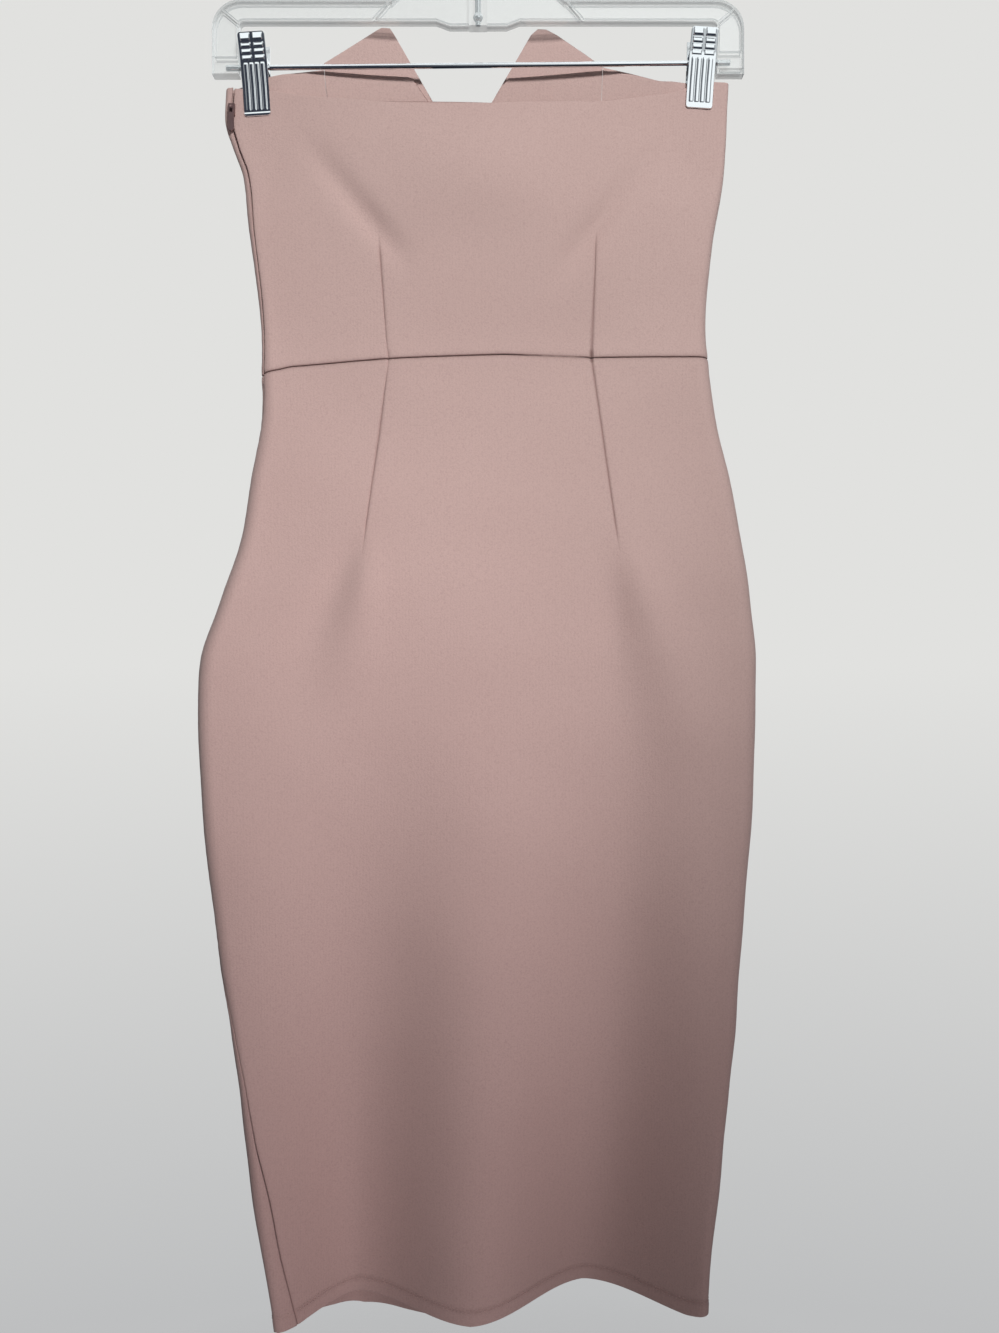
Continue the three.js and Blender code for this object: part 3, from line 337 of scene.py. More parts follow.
def curve_at(table, at, column=1):
    """A value read off a table as a smooth curve through its rows, level past both ends."""
    rows = np.array(table, float)
    rows = rows[np.argsort(rows[:, 0])]
    keys, values = rows[:, 0], rows[:, column]
    slopes = np.empty(len(keys))
    slopes[1:-1] = (values[2:] - values[:-2]) / (keys[2:] - keys[:-2])
    slopes[0] = (values[1] - values[0]) / (keys[1] - keys[0])
    slopes[-1] = (values[-1] - values[-2]) / (keys[-1] - keys[-2])
    at = np.clip(at, keys[0], keys[-1])
    i = np.clip(np.searchsorted(keys, at) - 1, 0, len(keys) - 2)
    span = keys[i + 1] - keys[i]
    t = (at - keys[i]) / span
    start = values[i] * (2 * t**3 - 3 * t**2 + 1) + slopes[i] * span * (t**3 - 2 * t**2 + t)
    return start + values[i + 1] * (3 * t**2 - 2 * t**3) + slopes[i + 1] * span * (t**3 - t**2)


def wave_depth(x, up):
    grown = np.clip((up - WAVE_TOP) / (WAVE_BOTTOM - WAVE_TOP), 0, 1.05)
    within = np.minimum(grown, 1)
    places = [high + (hem - high) * within for high, hem, _ in WAVES]
    depth = np.where(x >= places[-1], WAVES[-1][2], WAVES[0][2]).astype(float)
    for left, right, (_, _, first), (_, _, second) in zip(places, places[1:], WAVES, WAVES[1:]):
        t = (x - left) / (right - left)
        ease = (1 - np.cos(np.pi * np.clip(t, 0, 1))) / 2
        depth = np.where((t > 0) & (t <= 1), first + (second - first) * ease, depth)
    return depth * grown**WAVE_GROWTH


def fold_depth(on_back, x, up):
    total = np.zeros_like(x)
    for side, start, end, narrow, wide, depth, peak, rolls in FOLDS:
        run_x, run_up = end[0] - start[0], end[1] - start[1]
        run = math.hypot(run_x, run_up)
        along = ((x - start[0]) * run_x + (up - start[1]) * run_up) / run**2
        risen = smooth(along, 0, peak) - smooth(along, peak, 1)
        width = narrow + (wide - narrow) * np.clip(along, 0, 1)
        away = ((x - start[0]) * run_up - (up - start[1]) * run_x) / run / width
        shape = away * np.exp((1 - away**2) / 2) if rolls else np.exp(-(away**2))
        here = {"both": 1.0, "back": on_back, "front": 1 - on_back}[side]
        total = total + here * depth * risen * shape
    return total


def dart_x(dart, up):
    _, seam_x, seam_up, tip_x, tip_up = dart
    return seam_x + (tip_x - seam_x) * np.clip((up - seam_up) / (tip_up - seam_up), 0, 1)


def dart_crease(on_back, x, up, reach):
    """Each dart is a fold sunk into the cloth: 1 in its line, and falling away on both sides of it. The same
    value sets the painted shade in the dart's line.
    """
    total = np.zeros_like(x)
    for dart in DARTS.values():
        side, _, seam_up, _, tip_up = dart
        t = (up - seam_up) / (tip_up - seam_up)
        risen = np.clip((1 - t) * 6, 0, 1) * (t > -0.03)
        crease = np.exp(-np.abs(x - dart_x(dart, up)) / reach) * risen
        total = total + crease * (on_back if side == "back" else 1 - on_back)
    return total


def cloth_point(place, up):
    """A point of the outer face. The place runs 0 to 2 over the back and 2 to 4 over the front."""
    place, up = np.broadcast_arrays(np.asarray(place, float), np.asarray(up, float))
    ring = np.mod(place, 4)
    on_back = (ring < 2).astype(float)
    across = np.where(ring < 2, ring, 4 - ring)
    left, right, edge, back, front, span = (curve_at(SECTIONS, up, c) for c in range(1, 7))
    flat = right - left - 2 * edge
    turned_left = np.clip(across / ROUND_SHARE, 0, 1) * np.pi / 2
    turned_right = np.clip((2 - across) / ROUND_SHARE, 0, 1) * np.pi / 2
    x = left + edge + flat * (across - ROUND_SHARE) / (2 - 2 * ROUND_SHARE)
    reach = (x - (left + right) / 2) / (flat / 2 * span)
    rise = np.maximum(0, 1 - reach**2)
    swell = np.where(ring < 2, rise**BACK_SWELL, rise**FRONT_SWELL)
    out = edge + (np.where(ring < 2, back, front) - edge) * swell
    at_left, at_right = across < ROUND_SHARE, across > 2 - ROUND_SHARE
    x = np.where(at_left, left + edge * (1 - np.cos(turned_left)), x)
    x = np.where(at_right, right - edge * (1 - np.cos(turned_right)), x)
    out = np.where(at_left, edge * np.sin(turned_left), out)
    out = np.where(at_right, edge * np.sin(turned_right), out)
    settle = smooth(np.minimum(x - left, right - x), 0, edge + 10)
    sunk = DART_DEPTH * dart_crease(on_back, x, up, DART_REACH) * np.where(ring < 2, 1, -1)
    shift = fold_depth(on_back, x, up) * settle + sunk
    y = np.where(ring < 2, -out, out) + wave_depth(x, up) + shift
    return np.stack([x, y, WAIST_Z + up], -1)


def cloth_normal(place, up):
    step, rise = 0.004, 0.6
    across = cloth_point(place + step, up) - cloth_point(place - step, up)
    along = cloth_point(place, up + rise) - cloth_point(place, up - rise)
    normal = np.cross(across, along)
    return normal / np.linalg.norm(normal, axis=-1, keepdims=True)


def place_inward(inward, up):
    """The place that lies some millimetres inward of the left side, on the back."""
    left, right, edge = (curve_at(SECTIONS, up, c) for c in (1, 2, 3))
    turned = ROUND_SHARE * np.arccos(np.clip(1 - inward / edge, -1, 1)) / (np.pi / 2)
    level = ROUND_SHARE + (inward - edge) / (right - left - 2 * edge) * (2 - 2 * ROUND_SHARE)
    return np.where(inward < edge, turned, level)


def place_at_x(side, x, up):
    place = place_inward(np.maximum(x - curve_at(SECTIONS, up, 1), 0.01), up)
    return place if side == "back" else 4 - place


def place_along(place, up, distance):
    """The place that lies a distance along the cloth from another, walked in short steps."""
    steps, probe = 6, 0.0005
    for _ in range(steps):
        there = cloth_point(place + probe, up) - cloth_point(place, up)
        place = place + probe * distance / steps / np.linalg.norm(there, axis=-1)
    return place


# Rails: the line that an edge or a dart follows, as a place round the dress for each height
def left_seam(up):
    left, right, edge = (curve_at(SECTIONS, up, c) for c in (1, 2, 3))
    past = curve_at(LEFT_SEAM, up, 2) / (right - left - 2 * edge) * (2 - 2 * ROUND_SHARE)
    return ROUND_SHARE * curve_at(LEFT_SEAM, up, 1) / 90 + past


def right_seam(up):
    return 2 + place_inward(RIGHT_SEAM_INWARD + 0 * up, up)


def moved(rail, distance, turns=0):
    return lambda up: place_along(rail(up) + turns, up, distance(up) if callable(distance) else distance)


def seam_line(side, table):
    return lambda up: place_at_x(side, curve_at(table, up), up)


POINTS_UP, WAIST_UP = 229, -8


def straight_down(high_x, low_x):
    def rail(up):
        t = np.clip((up - POINTS_UP) / (WAIST_UP - POINTS_UP), 0, 1)
        return place_at_x("front", high_x + (low_x - high_x) * t, up)

    return rail


def dart_rail(name, offset=0.0):
    return lambda up: place_at_x(DARTS[name][0], dart_x(DARTS[name], up) + offset, up)


SEAM_GAP = 0.3
ZIP_END = -14
ZIP_PARTING = 0.35


def zip_opening(up):
    """The two edges nearly meet over the zip's coil, and touch below its end."""
    return SEAM_GAP / 2 + smooth(up, ZIP_END - 8, ZIP_END) * ZIP_PARTING


CLOTH = 1.4
EDGE_ROUND = 0.75
FINE_STEPS = (0.12, 0.3, 0.6, 1.1, 2.0, 3.4)


def spaced(length, step, fine_start=False, fine_end=False):
    """Shares from 0 to 1 along a length: even steps, with finer ones beside a sewn or folded edge."""
    start = [0, *FINE_STEPS] if fine_start else [0]
    end = [length - s for s in (0, *FINE_STEPS)][::-1] if fine_end else [length]
    count = max(1, round((end[0] - start[-1]) / step))
    middle = np.linspace(start[-1], end[0], count + 1)[1:-1]
    return np.array([*start, *middle, *end]) / length


WRINKLE_HEIGHT = 0.16
WRINKLES = np.random.default_rng(7)
WRINKLE_SET = [
    (
        WRINKLES.uniform(0.035, 0.11) * (1 if turn % 2 else 0.5),
        WRINKLES.uniform(0, 2 * np.pi),
        WRINKLES.uniform(-0.9, 0.9) + (np.pi / 2 if turn % 3 == 0 else 0),
    )
    for turn in range(14)
]


def unevenness(x, up):
    """The small swells of cloth that has been worn and hung, a sixth of a millimetre each."""
    total = np.zeros_like(x)
    for pitch, phase, angle in WRINKLE_SET:
        along = x * math.cos(angle) + up * math.sin(angle)
        total = total + WRINKLE_HEIGHT * np.sin(along * pitch + phase + 1.3 * np.sin(up * 0.021 + phase))
    return total


def rounded(distance, radius):
    """How far a folded edge falls away from the face, this far in from it."""
    inside = np.clip(radius - distance, 0, radius)
    return radius - np.sqrt(np.maximum(radius**2 - inside**2, 0))


# Double-knit crepe: a matt, close cloth with a fine pebbled face over faint upright wales. Its dye is
# a dusty pink, very slightly uneven. Painted shade makes it a shade greyer in the hollows of the knit,
# and darker along its seams, darts and hem line.
CREPE_PINK = linear(200, 170, 164)
CREPE_PALE = linear(207, 178, 172)
# Painted shade: the greyer colour given to the hollows of the knit.
CREPE_HOLLOW_SHADE = linear(188, 157, 152)
# Painted shade: the dark colour painted into the cloth along its seams, darts and hem line.
CREPE_PAINTED_SHADE = linear(118, 88, 84)


def weave_crepe():
    material, cloth = new_material("double_knit_crepe")
    spot = cloth.node("ShaderNodeTexCoord", output=3)
    pebbles = cloth.node(
        "ShaderNodeTexVoronoi",
        {"feature": "SMOOTH_F1"},
        {"Vector": spot, "Scale": 1150.0, "Smoothness": 0.6},
    )
    fluff = cloth.node("ShaderNodeTexNoise", inputs={"Vector": spot, "Scale": 640.0, "Detail": 2.0})
    patches = cloth.node("ShaderNodeTexNoise", inputs={"Vector": spot, "Scale": 9.0, "Detail": 2.0})
    wales = cloth.node(
        "ShaderNodeTexWave",
        {"wave_type": "BANDS", "bands_direction": "X"},
        {"Vector": spot, "Scale": 330.0, "Distortion": 0.6, "Detail": 1.0},
    )
    face = pebbles * 0.55 + fluff * 0.45 + wales * 0.18
    tone = patches.mixed(CREPE_PINK, CREPE_PALE)
    # Painted shade: where the bump sinks into the knit's hollows, the colour turns a shade greyer.
    hollow_shade = (face * 2.4 - 1.05).clamped()
    knit = (hollow_shade * 0.75).mixed(tone, CREPE_HOLLOW_SHADE)
    # Painted shade: each piece carries a per-point share of painted shade, darker along darts, sewn edges
    # and the hem's stitch line, which mixes the cloth toward its dark shade colour.
    crease = cloth.node("ShaderNodeAttribute", {"attribute_name": "crease"}, output="Fac")
    colour = (crease * 0.85).clamped().mixed(knit, CREPE_PAINTED_SHADE)
    grain = cloth.node("ShaderNodeBump", inputs={"Strength": 0.6, "Distance": 0.0003, "Height": 1 - face})
    rough = 0.86 + fluff * 0.1
    surface = cloth.node(
        "ShaderNodeBsdfPrincipled",
        inputs={
            "Base Color": colour,
            "Roughness": rough,
            "Normal": grain,
            "Sheen Weight": 0.18,
            "Sheen Roughness": 0.5,
            "Specular IOR Level": 0.25,
        },
    )
    cloth.node("ShaderNodeOutputMaterial", inputs={0: surface})
    return material


crepe = weave_crepe()

SEAM_RISE = 0.35
SEAM_CREST = 3.2
SEAM_REACH = 4.5
PUCKER = 0.10
PUCKER_REACH = 6
# Painted shade along sewn edges: its reach from the edge, and its strength along darts, along side edges and
# at the hem's stitch line.
SEAM_SHADE = 0.7
DART_SHADE = 0.5
SIDE_SHADE = 0.4
DART_STEP = 0.45
HEM_STITCH = 9.5
HEM_RISE = 0.45
HEM_DIP = 0.5
HEM_DIP_WIDTH = 0.7
HEM_SHADE = 0.22


def add_mesh(name, points, faces, smooth_under=30):
    mesh = bpy.data.meshes.new(name)
    mesh.from_pydata([tuple(point) for point in points], [], faces)
    mesh.validate()
    mesh.shade_smooth()
    mesh.set_sharp_from_angle(angle=math.radians(smooth_under))
    piece = bpy.data.objects.new(name, mesh)
    scene.collection.objects.link(piece)
    return piece


def wall_faces(shape):
    """The faces of a thin closed wall, from a grid of outer points and the same grid of inner points."""
    at = np.arange(shape[0] * shape[1]).reshape(shape)
    far = at.size
    a, b, c, d = at[:-1, :-1], at[1:, :-1], at[1:, 1:], at[:-1, 1:]
    sides = [
        (a, b, c, d),
        (a + far, d + far, c + far, b + far),
        (at[0, :-1], at[0, 1:], at[0, 1:] + far, at[0, :-1] + far),
        (at[-1, 1:], at[-1, :-1], at[-1, :-1] + far, at[-1, 1:] + far),
        (at[1:, 0], at[:-1, 0], at[:-1, 0] + far, at[1:, 0] + far),
        (at[:-1, -1], at[1:, -1], at[1:, -1] + far, at[:-1, -1] + far),
    ]
    return np.concatenate([np.stack([part.ravel() for part in side], -1) for side in sides]).tolist()


STITCH_PITCH = 2.6
STITCH_LENGTH = 1.9
STITCH_THICK = 0.42
STITCH_ROWS = (HEM_STITCH - 0.9, HEM_STITCH + 0.9)
STITCH_BEND = ((0, -0.25), (0.2, 0.12), (0.8, 0.12), (1, -0.25))
THREAD_TURN = [2 * math.pi * turn / 5 for turn in range(5)]


def spin_thread():
    material, thread = new_material("sewing_thread")
    spot = thread.node("ShaderNodeTexCoord", output=3)
    twist = thread.node("ShaderNodeTexNoise", inputs={"Vector": spot, "Scale": 900.0, "Detail": 1.0})
    colour = twist.mixed(linear(216, 188, 182), linear(194, 164, 158))
    surface = thread.node(
        "ShaderNodeBsdfPrincipled",
        inputs={"Base Color": colour, "Roughness": twist * 0.2 + 0.5, "Sheen Weight": 0.2},
    )
    thread.node("ShaderNodeOutputMaterial", inputs={0: surface})
    return material


sewing_thread = spin_thread()


def hem_stitches(name, outer, normal, from_bottom):
    """Two close rows of stitches that hold a turned-up hem: each a short thread, sunk at both ends."""
    points, faces = [], []
    for height in STITCH_ROWS:
        lines = []
        for column in range(outer.shape[1]):
            away = from_bottom[::-1, column]
            there = [np.interp(height, away, outer[::-1, column, k]) for k in range(3)]
            facing = [np.interp(height, away, normal[::-1, column, k]) for k in range(3)]
            lines.append((*there, *facing))
        line = np.array(lines)
        run = np.concatenate([[0], np.cumsum(np.linalg.norm(np.diff(line[:, :3], axis=0), axis=1))])
        for start in np.arange(STITCH_PITCH, run[-1] - STITCH_PITCH, STITCH_PITCH):
            rings = []
            for share, lift in STITCH_BEND:
                at = start + share * STITCH_LENGTH
                here = np.array([np.interp(at, run, line[:, k]) for k in range(6)])
                ahead = np.array([np.interp(at + 0.5, run, line[:, k]) for k in range(3)]) - here[:3]
                ahead = ahead / np.linalg.norm(ahead)
                out = here[3:] / np.linalg.norm(here[3:])
                side = np.cross(ahead, out)
                middle = here[:3] + out * lift
                spokes = [side * math.cos(angle) + out * math.sin(angle) for angle in THREAD_TURN]
                rings.append([middle + STITCH_THICK / 2 * spoke for spoke in spokes])
            first = len(points)
            for ring in rings:
                points.extend(ring)
            turns = len(THREAD_TURN)
            for ring in range(3):
                for turn in range(turns):
                    beside = (turn + 1) % turns
                    low = first + ring * turns
                    faces.append((low + turn, low + beside, low + turns + beside, low + turns + turn))
            faces.append(tuple(first + turn for turn in reversed(range(turns))))
            faces.append(tuple(first + 3 * turns + turn for turn in range(turns)))
    stitches = add_mesh(name, np.array(points) * MM, faces, smooth_under=60)
    stitches.data.materials.append(sewing_thread)
    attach(stitches, "root")
    return stitches


def cloth_piece(
    name, rails, spans, top, bottom, gaps=(0, 0), folded=(), step=3.0, inset=0.0, thick=CLOTH
):
    """One cut piece of cloth: a thin closed wall between its rails, its top edge and its bottom edge.

    The spans give the rough length between neighbouring rails, and which of their ends is sewn. The cut,
    the width, length and area of the flat piece listed with each piece, is not used. A piece folded at
    its bottom edge alone is stitched."""
    parts = [spaced(length, DART_STEP if length < 4 else step, *ends) for length, *ends in spans]
    number = np.concatenate([np.full(len(p) - 1, i) for i, p in enumerate(parts)] + [[len(parts) - 1]])
    shares = np.concatenate([p[:-1] for p in parts] + [[1.0]])

    def place_of(up):
        place = np.zeros(up.shape)
        for i in range(len(parts)):
            here = number == i
            start, end = rails[i](up[..., here]), rails[i + 1](up[..., here])
            place[..., here] = start + (end - start) * shares[here]
        return place

    def settled(edge):
        keys, ups = np.array(edge, float).T
        up = np.full(len(number), ups[0])
        for _ in range(10):
            up = np.interp(cloth_point(place_of(up), up)[:, 0], keys, ups)
        return up

    high, low = settled(top) - gaps[0], settled(bottom) + gaps[1]
    rows = spaced(float(np.median(high - low)), step, True, True)
    up = high + (low - high) * rows[:, None]
    place = place_of(up)
    base, normal = cloth_point(place, up), cloth_normal(place, up)

    def run(axis):
        length = np.linalg.norm(np.diff(base, axis=axis), axis=-1)
        start = np.zeros(up.shape)
        if axis:
            start[:, 1:] = np.cumsum(length, axis=1)
            return start, start[:, -1:] - start
        start[1:] = np.cumsum(length, axis=0)
        return start, start[-1:] - start

    from_left, from_right = run(1)
    from_top, from_bottom = run(0)
    relief = unevenness(base[..., 0], up)
    under = np.zeros(up.shape)
    # Painted shade, darkest in a dart's line, along the sewn edges and at the hem's stitch line, where shade
    # falls in the grooves of the cloth.
    crease = DART_SHADE * dart_crease((np.mod(place, 4) < 2).astype(float), base[..., 0], up, SEAM_SHADE)
    for edge, away, beside in (
        ("left", from_left, up),
        ("right", from_right, up),
        ("top", from_top, base[..., 0]),
        ("bottom", from_bottom, base[..., 0]),
    ):
        relief = relief - rounded(away, EDGE_ROUND)
        if edge in folded:
            under = under + rounded(away, EDGE_ROUND)
        else:
            shade = 1 if edge in ("top", "bottom") else SIDE_SHADE
            crease = np.maximum(crease, shade * np.exp(-away / SEAM_SHADE))
            relief = relief + SEAM_RISE * np.exp(-(((away - SEAM_CREST) / SEAM_REACH) ** 2))
            pucker = np.sin(beside * 0.55 + 1.7 * np.sin(beside * 0.13))
            relief = relief + PUCKER * pucker * np.exp(-away / PUCKER_REACH)
    if "bottom" in folded:
        relief = relief + HEM_RISE * (1 - smooth(from_bottom, HEM_STITCH - 1, HEM_STITCH + 2))
        dip = np.exp(-(((from_bottom - HEM_STITCH) / HEM_DIP_WIDTH) ** 2))
        relief = relief - HEM_DIP * dip
        crease = np.maximum(crease, HEM_SHADE * dip)
    outer = base + normal * (relief - inset)[..., None]
    inner = base - normal * (inset + thick - under)[..., None]

    points = np.concatenate([outer.reshape(-1, 3), inner.reshape(-1, 3)]) * MM
    piece = add_mesh(name + "_cloth", points, wall_faces(up.shape), smooth_under=55)
    uv = np.stack([from_left, up], -1).reshape(-1, 2)
    uv = np.concatenate([uv, uv])
    layer = piece.data.uv_layers.new(name="weave")
    corners = np.empty(len(piece.data.loops), int)
    piece.data.loops.foreach_get("vertex_index", corners)
    layer.data.foreach_set("uv", (uv[corners] * MM).ravel())
    # The painted shade is stored per point on the outer face; the inner face gets none.
    painted_shade_layer = piece.data.attributes.new("crease", "FLOAT", "POINT")
    painted_shade_layer.data.foreach_set("value", np.concatenate([crease.ravel(), 0 * crease.ravel()]))
    piece.data.materials.append(crepe)
    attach(piece, "root")
    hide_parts(name)
    threads = []
    if "bottom" in folded and "top" not in folded:
        threads = [hem_stitches(name + "_hem_stitches", outer, normal, from_bottom)]


# Back bodice: one piece from side seam to side seam, shaped by two darts that rise from the waist.
# Its neck edge is folded over, and the clips hold it at both ends.
BACK_TOP = [
    (-175, 180),
    (-165, 180),
    (-138, 178.5),
    (-118, 175),
    (-60, 169),
    (10, 166.8),
    (83, 170.3),
    (128, 177),
    (145, 182),
    (158, 184.5),
    (168, 184),
]
WAIST_BACK = [(-150, -13.4), (-123.7, -8.2), (-60, -4.4), (17.4, -1.5), (75, -3), (160, -1.3)]
SEWN_GAP = SEAM_GAP / 2
right_round = lambda up: 2 - ROUND_SHARE + 0 * up
left_round = lambda up: 4 - ROUND_SHARE + 0 * up
back_from_zip = moved(left_seam, zip_opening)
front_to_zip = moved(left_seam, lambda up: -zip_opening(up), turns=4)
back_to_side = moved(right_seam, -SEWN_GAP)
front_from_side = moved(right_seam, SEWN_GAP)


def darted(left, right):
    """The rails of the two darts and of the cloth just beside them."""
    offsets = (-DART_HALF_WIDTH, 0, DART_HALF_WIDTH)
    return [dart_rail(name, offset) for name in (left, right) for offset in offsets]


cloth_piece(
    "back_bodice",
    [back_from_zip, *darted("bodice_left", "bodice_right"), right_round, back_to_side],
    [(95, True, False), (2.6,), (2.6,), (135,), (2.6,), (2.6,), (75,), (20, False, True)],
    BACK_TOP,
    WAIST_BACK,
    gaps=(0, SEWN_GAP),
    folded=("top",),
)

# Back skirt: one piece from the waist seam to a turned-up hem, with two darts that run down from the
# waist. It hangs in long waves and is hemmed with two close rows of fine stitches.
HEM_BACK = [
    (-140, -639),
    (-119, -638),
    (-80, -631.7),
    (-4, -638),
    (72, -630),
    (138, -636.7),
    (155, -635.4),
]
cloth_piece(
    "back_skirt",
    [back_from_zip, *darted("skirt_left", "skirt_right"), right_round, back_to_side],
    [(110, True, False), (2.6,), (2.6,), (150,), (2.6,), (2.6,), (80,), (24, False, True)],
    WAIST_BACK,
    HEM_BACK,
    gaps=(SEWN_GAP, 0),
    folded=("bottom",),
)

# Front skirt: cut like the back from the same crepe, with two shorter darts and the same stitched hem.
# Low down it wraps past the zipped side, so that its edge shows from behind.
HEM_FRONT = [
    (-140, -639),
    (-119, -638),
    (-100, -645),
    (-80, -650),
    (-50, -649),
    (-4, -643),
    (72, -637),
    (155, -635.4),
]
WAIST_FRONT = [(-150, -13.4), (-60, -7), (60, -4), (160, -1.3)]
cloth_piece(
    "front_skirt",
    [front_from_side, *darted("front_left", "front_right")[::-1], left_round, front_to_zip],
    [(90, True, False), (2.6,), (2.6,), (130,), (2.6,), (2.6,), (85,), (24, False, True)],
    WAIST_FRONT,
    HEM_FRONT,
    gaps=(SEWN_GAP, 0),
    folded=("bottom",),
    step=3.5,
)

# Front bodice: a centre piece cut to two points with a notch between them, and a side piece on either
# hand, joined along two upright seams.
PRINCESS_LEFT = [(205, -105), (178, -102.5), (110, -86), (-8, -62)]
PRINCESS_RIGHT = [(205, 85), (178, 84), (110, 84), (-8, 70)]
NOTCH_X, NOTCH_UP = -11.2, 143.8
FACING_SHORT = 9
CENTRE_TOP = [
    (-107, 199.5),
    (-103, 202.5),
    (-69, 226),
    (-66, 227.7),
    (-60.5, 227.7),
    (-57.7, 223.8),
    (NOTCH_X, NOTCH_UP),
    (35.9, 223.4),
    (40.7, 227.3),
    (46.2, 226.9),
    (53.7, 222.8),
    (72.9, 209),
    (86, 199),
]
SIDE_LEFT_TOP = [(-175, 180), (-165, 180.5), (-152, 185), (-141.2, 189.6), (-105.9, 196.7)]
SIDE_RIGHT_TOP = [(84, 200), (104.9, 193.9), (122.9, 187.8), (140, 185.5), (160, 185), (168, 184)]
princess_left = seam_line("front", PRINCESS_LEFT)
princess_right = seam_line("front", PRINCESS_RIGHT)
facing_end_right = lambda up: 2 + place_inward(FACING_SHORT + 0 * up, up)
facing_end_left = lambda up: 4 - place_inward(FACING_SHORT + 0 * up, up)
CENTRE_RAILS = [
    (53.7, 44),
    (46.2, 38),
    (40.7, 33),
    (35.9, 28),
    (NOTCH_X, 2),
    (-57.7, -32),
    (-60.5, -35),
    (-66, -39),
    (-69, -42),
]
front_sides = [
    (
        "front_bodice_side_right",
        [front_from_side, facing_end_right, moved(princess_right, -SEWN_GAP)],
        [(10, True, False), (78, False, True)],
        SIDE_RIGHT_TOP,
        (0.098, 0.203, 0.0150),
    ),
    (
        "front_bodice_centre",
        [
            moved(princess_right, SEWN_GAP),
            *[straight_down(*line) for line in CENTRE_RAILS],
            moved(princess_left, -SEWN_GAP),
        ],
        [(30, True, False), (7,), (5,), (5,), (40,), (40,), (4.5,), (5,), (4.5,), (30, False, True)],
        CENTRE_TOP,
        (0.190, 0.236, 0.0345),
    ),
    (
        "front_bodice_side_left",
        [moved(princess_left, SEWN_GAP), facing_end_left, left_round, front_to_zip],
        [(60, True, False), (5,), (22, False, True)],
        SIDE_LEFT_TOP,
        (0.112, 0.210, 0.0165),
    ),
]
for name, rails, spans, top, cut in front_sides:
    cloth_piece(
        name, rails, spans, top, WAIST_FRONT, gaps=(0, SEWN_GAP), folded=("top",)
    )

# Facing: three strips of the same cloth inside the front's neck edge, turned in at both edges, the lower
# one straight across. They show from behind between the back's neck edge and the two points.
FACING_TOP = [
    (-175, 178),
    (-165, 179),
    (-152, 183.6),
    (-141.2, 188.2),
    (-105.9, 195.2),
    (-45.8, 193.5),
    (NOTCH_X, NOTCH_UP + 0.6),
    (20.2, 193.5),
    (84.5, 196.8),
    (104.9, 192.7),
    (122.9, 186.6),
    (140, 184.3),
    (168, 182.4),
]
FACING_BOTTOM = 116
FACING_HEM = [(-180, FACING_BOTTOM), (180, FACING_BOTTOM)]
FACING_GAP = 0.8
FACING_THICK = 1.2
facings = [
    (
        "facing_side_right",
        [facing_end_right, moved(princess_right, -SEWN_GAP)],
        [(75, False, True)],
        (0.080, 0.080, 0.0058),
    ),
    (
        "facing_centre",
        [
            moved(princess_right, SEWN_GAP),
            *[straight_down(*line) for line in ((18.6, 12), (NOTCH_X, 2), (-41.5, -24))],
            moved(princess_left, -SEWN_GAP),
        ],
        [(66, True, False), (24,), (24,), (60, False, True)],
        (0.190, 0.085, 0.0135),
    ),
    (
        "facing_side_left",
        [moved(princess_left, SEWN_GAP), facing_end_left],
        [(55, True, False)],
        (0.066, 0.078, 0.0049),
    ),
]
for name, rails, spans, cut in facings:
    cloth_piece(
        name,
        rails,
        spans,
        FACING_TOP,
        FACING_HEM,
        folded=("top", "bottom"),
        inset=CLOTH + FACING_GAP,
        thick=FACING_THICK,
    )

# Metal parts: the hook, the bar and the clips are bright chromed steel. The zip's slider and its pull tab
# are cast metal, dyed to go with the cloth.
def plate_metal(name, colour, roughness):
    material, metal = new_material(name)
    spot = metal.node("ShaderNodeTexCoord", output=3)
    haze = metal.node("ShaderNodeTexNoise", inputs={"Vector": spot, "Scale": 160.0, "Detail": 4.0})
    surface = metal.node(
        "ShaderNodeBsdfPrincipled",
        inputs={"Base Color": colour, "Metallic": 1.0, "Roughness": haze * 0.12 + roughness},
    )
    metal.node("ShaderNodeOutputMaterial", inputs={0: surface})
    return material


def finish_node(name, material, bevel):
    node = nodes[name]
    node.data.materials[0] = material
    edge = node.modifiers.new("softened_edges", "BEVEL")
    edge.width = bevel
    edge.segments = 2
    edge.limit_method = "ANGLE"
    edge.angle_limit = math.radians(32)
    edge.use_clamp_overlap = True


chrome = plate_metal("chrome_plate", (0.80, 0.82, 0.83, 1), 0.05)
for name in nodes:
    if name.startswith("clip_") or name in ("hanger_bar", "hanger_hook"):
        finish_node(name, chrome, 0.00018)
zip_metal = plate_metal("dyed_zip_metal", linear(150, 122, 120), 0.3)
for name in ("zip_slider", "zip_pull"):
    finish_node(name, zip_metal, 0.00025)

# Clip plates: the plate that faces the viewer is pressed from chromed steel sheet, with two columns of
# pads for the thumb on its lever, four ribs down to the jaw, and an ear on each side that takes the bar.
CLIP_WIDTH = 18
PLATE_THICK = 0.9
PLATE_STEP = 0.3
CORNER = 2.2
LEVER_END = 19
CLIPS = {"left": (-149.6, -3.7, 34), "right": (149.9, 3.7, 32)}
BAR_Z = {"left": -113.6, "right": -110.4}
PLATE_HEIGHTS = (-34, -13, -5, 3, 19)
PLATE_OUTS = (3.1, 3.1, 4.6, 5.4, 11)
PAD_ROWS = ((18.2, 14.2), (12.7, 10.1), (9.1, 6.5), (5.5, 2.9))
PAD_PLACE, PAD_HALF, PAD_SLOPE = 4.2, 3.3, 0.5
RIB_PITCH, RIB_HALF, RIB_HEIGHT = 3.7, 1.5, 0.36
RIB_TOP, RIB_FOOT = 1.4, 3.8
RIM_HEIGHT = 0.2
EAR_HALF, EAR_NEAR, EAR_FAR, EAR_HOLE = 4, -5.2, 3.2, 2.15
EAR_TURNS = 40


